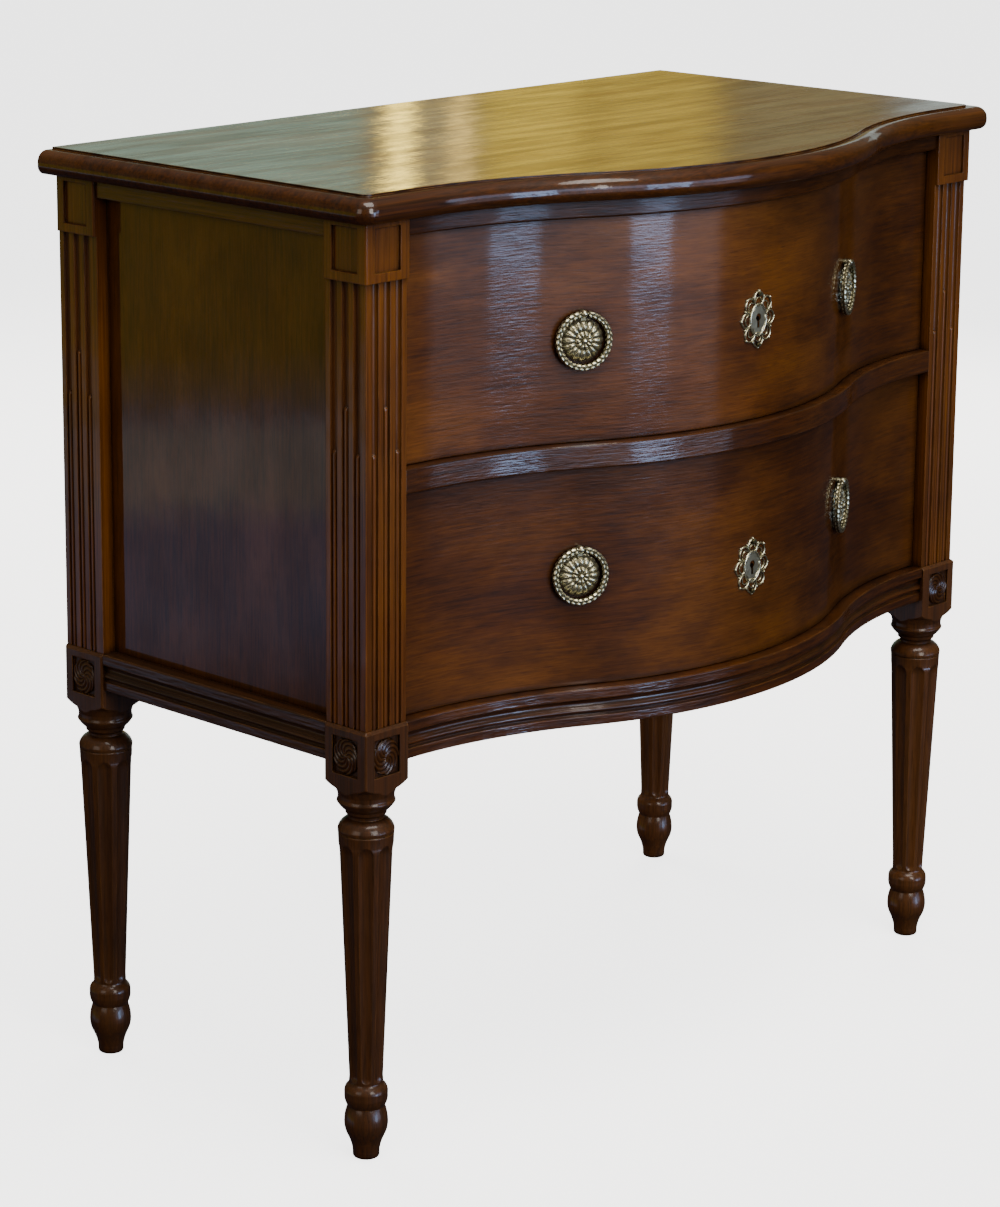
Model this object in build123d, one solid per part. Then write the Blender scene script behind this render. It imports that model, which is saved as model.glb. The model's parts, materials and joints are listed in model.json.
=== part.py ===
from build123d import *
import math
import os

os.makedirs("parts", exist_ok=True)

# Serpentine chest of two drawers on turned, fluted legs.
# X runs across the front, the front faces -Y, Z is up and the feet stand on Z = 0.
# The origin is on the floor at the centre of the outline seen from above.

# Whole chest
overall_height = 840.0
post_span_width = 818.0
post_span_depth = 385.0
front_bulge = 88.0
crown_share = 0.5
joint_gap = 0.05
slide_gap = 0.3
cut_over = 6.0

# Corner posts and legs
block_side = 50.0
block_height = 50.0
leg_height = 340.0
shaft_inset = 3.0
edge_chamfer = 1.2
ledge_chamfer = 2.4
tenon_radius = 11.0
tenon_length = 38.0

# Flutes of the posts, and the reeds that fill their lower ends
flute_pitch = 13.5
flute_radius = 3.9
flute_axis_out = 0.6
reed_radius = 2.7
reed_axis_in = 2.8
reed_mid_share = 0.716
reed_side_share = 0.615

# Sunk panels of the blocks, and their carved whorls
panel_width = 30.0
panel_height = 33.0
panel_sink = 2.6
capital_panel_height = 37.0
capital_panel_rise = 8.0
whorl_radius = 13.6
whorl_height = 1.5
whorl_eye_radius = 2.9
whorl_petals = 8

# Flutes of the turned legs
leg_flutes = 8
leg_flute_radius = 14.0
leg_flute_depth = 2.6
leg_flute_end_depth = 1.6

# Top panel
top_thickness = 23.0
top_side_overhang = 15.0
nose_ahead = 18.0
back_overhang = 6.0
field_rise = 1.8
field_inset = 17.0
nose_corner_radius = 15.0
field_corner_radius = 7.0
nose_upper_radius = 10.4
nose_lower_radius = 8.0

# Rails, panels and boards of the carcass
top_rail_height = 16.0
mid_rail_height = 21.5
base_rail_height = 34.0
rail_depth = 60.0
rail_thickness = 22.0
rail_edge_radius = 1.6
base_rail_inset = 1.5
moulding_depth = 14.0
side_panel_sink = 13.0
side_panel_thickness = 10.0
back_sink = 8.0
back_thickness = 10.0
back_rail_height = 40.0
back_boards = 5
back_groove = 1.5
board_thickness = 8.0
board_low_gap = 9.0
runner_width = 45.0
guide_height = 20.0
stop_length = 34.0
stop_width = 14.0
stop_height = 6.0
stop_clear = 2.5
stop_inset = 54.0
glue_block_length = 46.0
glue_block_side = 14.0

# Drawers
drawer_recess = 11.0
drawer_front_thickness = 22.0
drawer_side_thickness = 12.0
drawer_back_thickness = 11.0
drawer_bottom_thickness = 6.0
drawer_end_gap = 1.0
drawer_head_gap = 1.5
drawer_foot_gap = 0.6
drawer_side_drop = 6.0
drawer_back_drop = 14.0
drawer_rear_gap = 18.0
dovetail_count = 3
dovetail_length = 14.0
dovetail_flare = 3.0

# Ring handles: their places are shares of the drawer opening's half-width and height
handle_place_share = 0.5
handle_upper_share = 0.457
handle_lower_share = 0.511
rosette_radius = 19.0
ring_clear = 0.7
ring_section_radius = 3.5
ring_stand_off = 5.0
eye_radius = 3.3
eye_gap = 0.35
hinge_pin_radius = 1.3
hinge_pin_gap = 0.08
hinge_pin_reach = 2.1
bolt_radius = 2.4
nut_radius = 6.5
nut_thickness = 3.4
bolt_tail = 2.5

# Escutcheons and locks
escutcheon_upper_share = 0.458
escutcheon_lower_share = 0.424
escutcheon_height = 53.0
escutcheon_width = 47.0
escutcheon_thickness = 2.0
scroll_lobes = 8
keyhole_radius = 2.8
keyhole_slot_width = 2.6
keyhole_slot_drop = 8.5
pin_radius = 0.8
pin_head_radius = 2.1
pin_head_height = 1.3
pin_length = 9.0
pin_inset = 3.9
lock_width = 44.0
lock_depth = 10.0
lock_drop = 25.0
lock_seat_sink = 1.6
lock_head_gap = 2.0
bolt_tongue_width = 14.0
bolt_tongue_thickness = 5.0
bolt_tongue_length = 42.0
bolt_travel = 8.0
bolt_mortise_depth = 10.0

# Heights worked out from the sizes above
carcass_top_z = overall_height - top_thickness
block_top_z = leg_height + block_height
capital_bottom_z = carcass_top_z - block_height
top_rail_z = carcass_top_z - top_rail_height
opening_height = (top_rail_z - block_top_z - mid_rail_height) / 2
mid_rail_z = block_top_z + opening_height
upper_floor_z = mid_rail_z + mid_rail_height
base_rail_z = block_top_z - base_rail_height
drawer_bottom_rise = stop_height + stop_clear

# Places in plan
overall_depth = back_overhang + post_span_depth - shaft_inset + front_bulge + nose_ahead
back_edge_y = overall_depth / 2
post_back_y = back_edge_y - back_overhang
block_front_y = post_back_y - post_span_depth
shaft_front_y = block_front_y + shaft_inset
front_post_back_y = block_front_y + block_side
rear_post_front_y = post_back_y - block_side
post_out_x = post_span_width / 2
post_in_x = post_out_x - block_side
post_mid_x = post_out_x - block_side / 2
shaft_out_x = post_out_x - shaft_inset
side_panel_out_x = shaft_out_x - side_panel_sink
side_panel_in_x = side_panel_out_x - side_panel_thickness
rail_back_y = shaft_front_y + rail_depth
back_rail_front_y = post_back_y - rail_thickness
back_panel_front_y = post_back_y - back_sink - back_thickness

handle_place = handle_place_share * post_in_x
ring_radius = rosette_radius + ring_clear + ring_section_radius
pin_place = escutcheon_height / 2 - pin_inset

# Serpentine line: a convex arc between two concave ones, all tangent
crown_half = post_in_x * crown_share
turn = 2 * math.atan(front_bulge / post_in_x)
crown_radius = crown_half / math.sin(turn)
hollow_radius = (post_in_x - crown_half) / math.sin(turn)
crown_centre_y = shaft_front_y - front_bulge + crown_radius
hollow_centre_y = shaft_front_y - hollow_radius

# Taper of the leg: radius as a share of the block's side, height of the leg's height
taper_low_shares = (0.296, 0.2045)
taper_high_shares = (0.478, 0.8640)
flute_low_share = 0.222
flute_high_share = 0.816

# Leg profile from the floor up: radius as a share of the block's side,
# height as a share of the leg's height, bulge of the stretch that follows
leg_profile_shares = [
    (0.196, 0.0000, -0.012),
    (0.232, 0.0080, 0.000),
    (0.236, 0.0220, 0.010),
    (0.316, 0.0590, -0.016),
    (0.381, 0.0955, -0.014),
    (0.324, 0.1395, -0.010),
    (0.378, 0.1630, 0.000),
    (0.378, 0.1800, -0.014),
    (0.318, 0.1975, 0.004),
    (*taper_low_shares, 0.000),
    (*taper_high_shares, 0.000),
    (0.464, 0.8662, 0.000),
    (0.482, 0.8682, 0.000),
    (0.486, 0.8750, -0.037),
    (0.308, 0.9035, 0.000),
    (0.308, 0.9105, 0.000),
    (0.350, 0.9160, 0.000),
    (0.358, 0.9240, -0.010),
    (0.499, 0.9470, 0.000),
    (0.499, 0.9500, 0.000),
    (0.482, 0.9560, 0.000),
    (0.482, 0.9660, 0.004),
    (0.530, 0.9850, -0.008),
    (0.710, 1.0030, 0.000),
]

# Section of the base moulding from its top edge down: how far it stands back
# as a share of its depth, height as a share of the rail's height, and bulge
base_profile_shares = [
    (0.04, 1.00, 0.00),
    (0.00, 0.97, 0.00),
    (0.00, 0.72, 0.00),
    (0.10, 0.70, -0.14),
    (0.22, 0.50, 0.00),
    (0.20, 0.47, 0.09),
    (0.20, 0.34, 0.00),
    (0.28, 0.31, -0.03),
    (0.14, 0.25, 0.00),
    (0.14, 0.02, 0.00),
    (0.18, 0.00, 0.00),
]

# Section of a handle's rosette: radius and height as shares of its radius
rosette_shares = [
    (1.00, 0.00),
    (1.00, 0.08),
    (0.88, 0.20),
    (0.58, 0.27),
    (0.42, 0.32),
    (0.26, 0.33),
    (0.22, 0.40),
    (0.12, 0.44),
    (0.00, 0.45),
]
petal_bow_share = 0.30
petal_hollow_share = 0.03

rosette_petals = 20
petal_notch_share = 0.055
scroll_lobe_share = 0.185
scroll_hole_share = 0.30
cartouche_share = 0.24


def block(x_pair, y_pair, z_pair):
    """A box between two planes each way."""
    size = [abs(pair[1] - pair[0]) for pair in (x_pair, y_pair, z_pair)]
    middle = [(pair[0] + pair[1]) / 2 for pair in (x_pair, y_pair, z_pair)]
    return Pos(*middle) * Box(*size)


def rod(start, direction, radius, length):
    """A round bar from a point along a direction."""
    return Plane(origin=start, z_dir=direction) * Cylinder(
        radius, length, align=(Align.CENTER, Align.CENTER, Align.MIN)
    )


def front_y(x, ahead):
    """Where the serpentine line, moved ahead, lies at x."""
    side = abs(x)
    if side <= (crown_radius + ahead) * math.sin(turn):
        return crown_centre_y - math.sqrt((crown_radius + ahead) ** 2 - side**2)
    if side < post_in_x:
        across = post_in_x - side
        return hollow_centre_y + math.sqrt((hollow_radius - ahead) ** 2 - across**2)
    return shaft_front_y - ahead


def front_normal(x, ahead):
    """The outward direction of the serpentine line at x."""
    side = abs(x)
    if side <= (crown_radius + ahead) * math.sin(turn):
        lean = math.asin(side / (crown_radius + ahead))
    else:
        lean = math.asin((post_in_x - side) / (hollow_radius - ahead))
    return Vector(math.copysign(math.sin(lean), x), -math.cos(lean), 0)


def front_arcs(ahead):
    """The serpentine line's three arcs, from left to right."""
    crown = crown_radius + ahead
    hollow = hollow_radius - ahead
    join = (crown * math.sin(turn), crown_centre_y - crown * math.cos(turn))
    end = (post_in_x, shaft_front_y - ahead)
    half = (
        post_in_x - hollow * math.sin(turn / 2),
        hollow_centre_y + hollow * math.cos(turn / 2),
    )
    left = [(-point[0], point[1]) for point in (end, half, join)]
    return [
        ThreePointArc(*left),
        ThreePointArc(left[2], (0, crown_centre_y - crown), join),
        ThreePointArc(join, half, end),
    ]


def behind_front(ahead, reach, back_y, z_pair, corner=0):
    """Everything behind the serpentine line, out to a reach on each side."""
    end_y = shaft_front_y - ahead
    edges = front_arcs(ahead)
    if reach > post_in_x:
        edges.append(Line((post_in_x, end_y), (reach, end_y)))
        edges.append(Line((-reach, end_y), (-post_in_x, end_y)))
    edges.append(Line((reach, end_y), (reach, back_y)))
    edges.append(Line((reach, back_y), (-reach, back_y)))
    edges.append(Line((-reach, back_y), (-reach, end_y)))
    face = make_face(edges)
    if corner:
        corners = [v for v in face.vertices() if abs(abs(v.X) - reach) < joint_gap and v.Y < 0]
        face = fillet(corners, corner)
    return Pos(0, 0, z_pair[0]) * extrude(face, amount=z_pair[1] - z_pair[0], dir=(0, 0, 1))


def arc_or_line(start, end, bulge):
    """One stretch of a profile: straight, or an arc of the given bulge."""
    if bulge:
        return SagittaArc(start, end, bulge)
    return Line(start, end)


def mirrored(shape):
    """The left-hand copy of a right-hand piece."""
    return mirror(shape, about=Plane.YZ)


# Carved details of the corners

def outer_faces(centre_y, decorated_front):
    """Planes on a right-hand corner's decorated faces, their x across and y up."""
    planes = [Plane(origin=(post_out_x, centre_y, 0), x_dir=(0, 1, 0), z_dir=(1, 0, 0))]
    if decorated_front:
        front = (post_mid_x, block_front_y, 0)
        planes.append(Plane(origin=front, x_dir=(1, 0, 0), z_dir=(0, -1, 0)))
    return planes


def whorl():
    """A carved pinwheel of curved petals that fall away from a round eye."""
    outline = Circle(whorl_eye_radius)
    step = 2 * math.pi / whorl_petals
    root = whorl_eye_radius / 2
    for index in range(whorl_petals):
        angle = index * step
        start = (root * math.cos(angle), root * math.sin(angle))
        tip = (whorl_radius * math.cos(angle + step), whorl_radius * math.sin(angle + step))
        outer = SagittaArc(start, tip, petal_bow_share * whorl_radius)
        inner = SagittaArc(start, tip, petal_hollow_share * whorl_radius)
        outline += make_face([outer, inner])
    wheel = extrude(outline, amount=whorl_height)
    crown = Cone(
        2 * whorl_radius,
        whorl_eye_radius,
        whorl_height,
        align=(Align.CENTER, Align.CENTER, Align.MIN),
    )
    return wheel & crown


def flute_middle(plane):
    """How far the middle flute stands from the block's middle, away from the corner."""
    away = (shaft_inset + edge_chamfer) / 2
    return -away if plane.z_dir.Y < 0 else away


def flute_cutters(plane):
    """Three grooves along a shaft's face, open at both ends."""
    length = capital_bottom_z - block_top_z
    cutters = []
    for step in (-1, 0, 1):
        across = flute_middle(plane) + step * flute_pitch
        start = plane.from_local_coords(
            Vector(across, block_top_z, flute_axis_out - shaft_inset)
        )
        cutters.append(rod(start, (0, 0, 1), flute_radius, length))
    return cutters


def flute_reeds(plane):
    """The reeds with round tops that fill the lower ends of the flutes."""
    reeds = []
    length = capital_bottom_z - block_top_z
    for step in (-1, 0, 1):
        top = length * (reed_side_share if step else reed_mid_share)
        across = flute_middle(plane) + step * flute_pitch
        start = plane.from_local_coords(
            Vector(across, block_top_z, -reed_axis_in - shaft_inset)
        )
        reeds.append(rod(start, (0, 0, 1), reed_radius, top))
        reeds.append(Pos(start + Vector(0, 0, top)) * Sphere(reed_radius))
    return reeds


def corner_post(centre_y, decorated_front):
    """Right-hand post: a fluted shaft under a capital with sunk panels."""
    y_pair = (centre_y - block_side / 2, centre_y + block_side / 2)
    post = block((post_in_x, post_out_x), y_pair, (block_top_z, carcass_top_z))
    outer = [e for e in post.edges().filter_by(Axis.Z) if e.center().X > post_mid_x]
    post = chamfer(outer, edge_chamfer)
    shaft_z = (block_top_z, capital_bottom_z)
    post -= block(
        (shaft_out_x, post_out_x + cut_over),
        (y_pair[0] - cut_over, y_pair[1] + cut_over),
        shaft_z,
    )
    if decorated_front:
        post -= block(
            (post_in_x - cut_over, post_out_x + cut_over),
            (block_front_y - cut_over, shaft_front_y),
            shaft_z,
        )
    for plane in outer_faces(centre_y, decorated_front):
        for cutter in flute_cutters(plane):
            post -= cutter
        for reed in flute_reeds(plane):
            post += reed
        middle_z = capital_bottom_z + capital_panel_rise + capital_panel_height / 2
        seat = plane * Pos(0, middle_z, -panel_sink / 2) * Box(
            panel_width, capital_panel_height, panel_sink
        )
        post -= seat
    post -= rod(
        (post_mid_x, centre_y, block_top_z),
        (0, 0, 1),
        tenon_radius + joint_gap,
        tenon_length + joint_gap,
    )
    return post


def leg_turning():
    """The leg as it comes off the lathe, wide enough above to hold the block."""
    points = [(0, 0)] + [
        (radius * block_side, height * leg_height) for radius, height, _ in leg_profile_shares
    ]
    bulges = [0] + [bulge * block_side for _, _, bulge in leg_profile_shares]
    widest = points[-1][0]
    edges = [
        arc_or_line(points[index], points[index + 1], bulges[index])
        for index in range(len(points) - 1)
    ]
    edges.append(Line(points[-1], (widest, block_top_z)))
    edges.append(Line((widest, block_top_z), (0, block_top_z)))
    edges.append(Line((0, block_top_z), (0, 0)))
    return revolve(Plane.XZ * make_face(edges), axis=Axis.Z)


def leg_flute_cutters():
    """Wide shallow flutes that follow the leg's taper and end in round noses."""
    radius_low, z_low = taper_low_shares[0] * block_side, taper_low_shares[1] * leg_height
    radius_high, z_high = taper_high_shares[0] * block_side, taper_high_shares[1] * leg_height
    slope = (radius_high - radius_low) / (z_high - z_low)

    def on_surface(height_share):
        z = height_share * leg_height
        return radius_low + slope * (z - z_low), z

    start_r, start_z = on_surface(flute_low_share)
    end_r, end_z = on_surface(flute_high_share)
    shrink = start_r / end_r
    small = leg_flute_radius * shrink
    start = Vector(start_r + small - leg_flute_end_depth, 0, start_z)
    end = Vector(end_r + leg_flute_radius - leg_flute_depth, 0, end_z)
    along = end - start
    body = Plane(origin=start, z_dir=along) * Cone(
        small, leg_flute_radius, along.length, align=(Align.CENTER, Align.CENTER, Align.MIN)
    )
    nose = Pos(end) * Sphere(leg_flute_radius)
    tail = Pos(start) * Sphere(small)
    cutter = body + nose + tail
    return [Rot(0, 0, 360 * index / leg_flutes) * cutter for index in range(leg_flutes)]


def corner_leg(centre_y, decorated_front):
    """Right-hand leg: a carved block over a turned and fluted taper."""
    half = block_side / 2
    blank = block((-half, half), (-half, half), (0, block_top_z))
    uprights = [e for e in blank.edges().filter_by(Axis.Z) if e.center().X > 0]
    side_ledge = blank.edges().filter_by(Axis.Y).sort_by(Axis.Z)[-2:].sort_by(Axis.X)[-1]
    square = chamfer(uprights, edge_chamfer) & chamfer(side_ledge, ledge_chamfer)
    if decorated_front:
        front_ledge = blank.edges().filter_by(Axis.X).sort_by(Axis.Z)[-2:].sort_by(Axis.Y)[0]
        square &= chamfer(front_ledge, ledge_chamfer)
    leg = square & leg_turning()
    for cutter in leg_flute_cutters():
        leg -= cutter
    leg = Pos(post_mid_x, centre_y, 0) * leg
    panel_z = leg_height + block_height / 2
    wheel = whorl()
    for plane in outer_faces(centre_y, decorated_front):
        leg -= plane * Pos(0, panel_z, -panel_sink / 2) * Box(panel_width, panel_height, panel_sink)
        leg += plane * Pos(0, panel_z, -panel_sink) * wheel
    leg += rod((post_mid_x, centre_y, block_top_z), (0, 0, 1), tenon_radius, tenon_length)
    return leg


# Rails with the base moulding

def base_section(height_at_zero):
    """Closed section of the base moulding; x is forward, y is up."""
    points = [
        (-back * moulding_depth, height_at_zero + up * base_rail_height)
        for back, up, _ in base_profile_shares
    ]
    bulges = [bulge * moulding_depth for _, _, bulge in base_profile_shares]
    edges = [
        arc_or_line(points[index], points[index + 1], bulges[index])
        for index in range(len(points) - 1)
    ]
    back_low = (-moulding_depth, points[-1][1])
    back_high = (-moulding_depth, points[0][1])
    edges.append(Line(points[-1], back_low))
    edges.append(Line(back_low, back_high))
    edges.append(Line(back_high, points[0]))
    return make_face(edges)


def front_base_rail():
    """Serpentine base rail with its moulding run along the front."""
    ahead = shaft_inset - base_rail_inset
    start = Vector(-post_in_x, shaft_front_y - ahead, 0)
    section = Plane(origin=start, x_dir=(0, -1, 0), z_dir=(-1, 0, 0)) * base_section(base_rail_z)
    run = sweep(section, path=Wire(front_arcs(ahead)))
    core = behind_front(
        ahead - moulding_depth / 2, post_in_x, rail_back_y, (base_rail_z, block_top_z)
    )
    return run + core


def plain_front_rail(z_pair):
    """A serpentine rail between the front posts, with eased front edges."""
    rail = behind_front(0, post_in_x, rail_back_y, z_pair)
    arrises = [
        e
        for e in rail.edges()
        if e.geom_type == GeomType.CIRCLE and abs(e.center().Z - sum(z_pair) / 2) > rail_edge_radius
    ]
    return fillet(arrises, rail_edge_radius)


def bolt_mortise(under_z):
    """The pocket in a rail that takes a drawer's lock bolt."""
    middle_y = lock_tongue_y()
    half_x = bolt_tongue_width / 2 + slide_gap
    half_y = bolt_tongue_thickness / 2 + slide_gap
    return block(
        (-half_x, half_x),
        (middle_y - half_y, middle_y + half_y),
        (under_z - joint_gap, under_z + bolt_mortise_depth),
    )


def side_base_rail():
    """Right-hand side rail with the same moulding along its length."""
    face_x = post_out_x - base_rail_inset
    plane = Plane(origin=(face_x, front_post_back_y, 0), x_dir=(1, 0, 0), z_dir=(0, -1, 0))
    run = plane * extrude(
        base_section(base_rail_z), amount=front_post_back_y - rear_post_front_y
    )
    core = block(
        (face_x - rail_thickness, face_x - moulding_depth / 2),
        (front_post_back_y, rear_post_front_y),
        (base_rail_z, block_top_z),
    )
    return run + core


def top_panel():
    """Top board: a thumb-moulded nose around a slightly raised field."""
    nose_top_z = overall_height - field_rise
    reach = post_out_x + top_side_overhang
    slab = behind_front(
        nose_ahead, reach, back_edge_y, (carcass_top_z, nose_top_z), nose_corner_radius
    )

    def nose_edges(shape, z):
        level = shape.edges().filter_by_position(Axis.Z, z, z)
        return [e for e in level if abs(e.center().Y - back_edge_y) > joint_gap]

    slab = fillet(nose_edges(slab, nose_top_z), nose_upper_radius)
    slab = fillet(nose_edges(slab, carcass_top_z), nose_lower_radius)
    field = behind_front(
        nose_ahead - field_inset,
        reach - field_inset,
        back_edge_y,
        (nose_top_z - joint_gap, overall_height),
        field_corner_radius,
    )
    return slab + field


def side_panel():
    """Right-hand side panel between posts and rails."""
    return block(
        (side_panel_in_x, side_panel_out_x),
        (front_post_back_y, rear_post_front_y),
        (block_top_z, top_rail_z),
    )


def side_top_rail():
    """Right-hand side rail under the top."""
    return block(
        (shaft_out_x - rail_thickness, shaft_out_x),
        (front_post_back_y, rear_post_front_y),
        (top_rail_z, carcass_top_z),
    )


def back_panel():
    """Back of upright boards, with a groove at each joint."""
    z_pair = (block_top_z, carcass_top_z - back_rail_height)
    y_pair = (back_panel_front_y, post_back_y - back_sink)
    panel = block((-post_in_x, post_in_x), y_pair, z_pair)
    pitch = 2 * post_in_x / back_boards
    for index in range(1, back_boards):
        x = -post_in_x + index * pitch
        panel -= block(
            (x - back_groove, x + back_groove),
            (y_pair[1] - back_groove, y_pair[1] + cut_over),
            (z_pair[0] - cut_over, z_pair[1] + cut_over),
        )
    return panel


def back_rail(z_pair):
    """A plain rail between the rear posts."""
    return block((-post_in_x, post_in_x), (back_rail_front_y, post_back_y), z_pair)


def runner(floor_z):
    """Right-hand drawer runner with its raised guide."""
    inner_x = side_panel_in_x - runner_width
    lower = block(
        (inner_x, side_panel_in_x),
        (rail_back_y, rear_post_front_y),
        (floor_z - mid_rail_height, floor_z),
    )
    guide = block(
        (post_in_x, side_panel_in_x),
        (rail_back_y, rear_post_front_y),
        (floor_z - joint_gap, floor_z + guide_height),
    )
    return lower + guide


def kicker():
    """Right-hand strip above the upper drawer's side."""
    return block(
        (side_panel_in_x - runner_width, side_panel_in_x),
        (rail_back_y, rear_post_front_y),
        (top_rail_z, carcass_top_z),
    )


def inner_board(low_z):
    """A thin board between the runners, from the front rail to the back."""
    inner_x = side_panel_in_x - runner_width
    back_y = back_rail_front_y if low_z < block_top_z else back_panel_front_y
    return block((-inner_x, inner_x), (rail_back_y, back_y), (low_z, low_z + board_thickness))


def drawer_stops():
    """Small blocks on the rails that stop the drawer fronts flush."""
    inner = -drawer_recess - drawer_front_thickness
    ahead = inner - slide_gap - stop_width / 2
    blocks = []
    for floor_z in (block_top_z, upper_floor_z):
        for side in (-1, 1):
            x = side * (post_in_x - stop_inset)
            normal = front_normal(x, ahead)
            place = Plane(
                origin=(x, front_y(x, ahead), floor_z + stop_height / 2),
                x_dir=(-normal.Y, normal.X, 0),
                z_dir=(0, 0, 1),
            )
            blocks.append(place * Box(stop_length, stop_width, stop_height))
    return Compound(children=[item.solid() for item in blocks])


def glue_blocks():
    """Blocks that hold the top to the front and back rails."""
    blocks = []
    z_pair = (carcass_top_z - glue_block_side, carcass_top_z)
    for index in (-1, 0, 1):
        x = index * post_in_x / 2
        x_pair = (x - glue_block_length / 2, x + glue_block_length / 2)
        blocks.append(block(x_pair, (rail_back_y, rail_back_y + glue_block_side), z_pair))
        blocks.append(
            block(x_pair, (back_rail_front_y - glue_block_side, back_rail_front_y), z_pair)
        )
    return Compound(children=[item.solid() for item in blocks])


# Drawers

drawer_rear_y = back_panel_front_y - drawer_rear_gap
front_reach_x = post_in_x - drawer_end_gap
drawer_face_ahead = -drawer_recess
drawer_inner_ahead = -drawer_recess - drawer_front_thickness
drawer_side_out_x = front_reach_x
drawer_side_in_x = drawer_side_out_x - drawer_side_thickness


def lock_seat_y():
    """The flat seat of a lock, let into the back of a drawer front."""
    return front_y(0, drawer_inner_ahead) - lock_seat_sink


def lock_tongue_y():
    """Middle of a lock's bolt, seen from the side."""
    return lock_seat_y() + lock_depth / 2


def keyhole(height, start_y, depth):
    """A round hole over a slot, cut along Y from a start."""
    hole = rod((0, start_y, height), (0, 1, 0), keyhole_radius, depth)
    slot = block(
        (-keyhole_slot_width / 2, keyhole_slot_width / 2),
        (start_y, start_y + depth),
        (height - keyhole_slot_drop, height),
    )
    return hole + slot


def dovetails(low_z, high_z):
    """Tails of a right-hand drawer side that enter the drawer front."""
    root_y = front_y(drawer_side_out_x, drawer_inner_ahead)
    pitch = (high_z - low_z) / dovetail_count
    half = pitch / 4
    tails = []
    for index in range(dovetail_count):
        middle = low_z + pitch * (index + 1 / 2)
        tip_half = half + dovetail_flare
        outline = Polyline(
            (root_y + joint_gap, middle - half),
            (root_y - dovetail_length, middle - tip_half),
            (root_y - dovetail_length, middle + tip_half),
            (root_y + joint_gap, middle + half),
            close=True,
        )
        plane = Plane(origin=(drawer_side_in_x, 0, 0), x_dir=(0, 1, 0), z_dir=(1, 0, 0))
        tails.append(plane * extrude(make_face(outline), amount=drawer_side_thickness))
    return tails


def handle_plane(side, height):
    """The seat of a handle: z points out of the drawer front, y is up."""
    x = side * handle_place
    normal = front_normal(x, drawer_face_ahead)
    return Plane(
        origin=(x, front_y(x, drawer_face_ahead), height),
        x_dir=(-normal.Y, normal.X, 0),
        z_dir=normal,
    )


def drawer_front(floor_z, handle_z, lock_z):
    """Serpentine drawer front, bored for its handles, lock and pins."""
    z_pair = (floor_z + drawer_foot_gap, floor_z + opening_height - drawer_head_gap)
    front = behind_front(drawer_face_ahead, post_in_x, back_edge_y, z_pair)
    front -= behind_front(
        drawer_inner_ahead,
        post_in_x,
        back_edge_y + cut_over,
        (z_pair[0] - cut_over, z_pair[1] + cut_over),
    )
    front &= block(
        (-front_reach_x, front_reach_x), (-overall_depth, overall_depth), (0, overall_height)
    )
    for tail in dovetails(floor_z + slide_gap, z_pair[1] - drawer_side_drop):
        front -= tail
        front -= mirrored(tail)
    for side in (-1, 1):
        seat = handle_plane(side, handle_z)
        front -= seat * Pos(0, 0, -drawer_front_thickness) * Cylinder(
            bolt_radius + joint_gap, 4 * drawer_front_thickness
        )
    start_y = front_y(0, drawer_face_ahead) - cut_over
    front -= keyhole(lock_z, start_y, drawer_front_thickness + 2 * cut_over)
    for place in (-pin_place, pin_place):
        start = (0, front_y(0, drawer_face_ahead) - cut_over, lock_z + place)
        front -= rod(start, (0, 1, 0), pin_radius + joint_gap, pin_length + cut_over)
    half = lock_width / 2 + joint_gap
    front -= block(
        (-half, half),
        (lock_seat_y(), lock_seat_y() + drawer_front_thickness),
        (lock_z - lock_drop - joint_gap, z_pair[1] + cut_over),
    )
    return front


def drawer_side(floor_z):
    """Right-hand drawer side with its tails."""
    z_pair = (
        floor_z + slide_gap,
        floor_z + opening_height - drawer_head_gap - drawer_side_drop,
    )
    x_pair = (drawer_side_in_x, drawer_side_out_x - slide_gap)
    side = block(x_pair, (shaft_front_y, drawer_rear_y), z_pair)
    side &= behind_front(drawer_inner_ahead, post_in_x, back_edge_y, (0, overall_height))
    trim = block(x_pair, (-overall_depth, overall_depth), (0, overall_height))
    for tail in dovetails(floor_z + slide_gap, z_pair[1]):
        side += tail & trim
    return side


def drawer_back(floor_z):
    """Drawer back, standing on the bottom board."""
    low = floor_z + drawer_bottom_rise + drawer_bottom_thickness
    high = floor_z + opening_height - drawer_head_gap - drawer_back_drop
    return block(
        (-drawer_side_in_x, drawer_side_in_x),
        (drawer_rear_y - drawer_back_thickness, drawer_rear_y),
        (low, high),
    )


def drawer_bottom(floor_z):
    """Drawer bottom that follows the curve of the front."""
    low = floor_z + drawer_bottom_rise
    board = behind_front(
        drawer_inner_ahead, post_in_x, drawer_rear_y, (low, low + drawer_bottom_thickness)
    )
    return board & block(
        (-drawer_side_in_x, drawer_side_in_x), (-overall_depth, overall_depth), (0, overall_height)
    )


# Brass and iron

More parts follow.
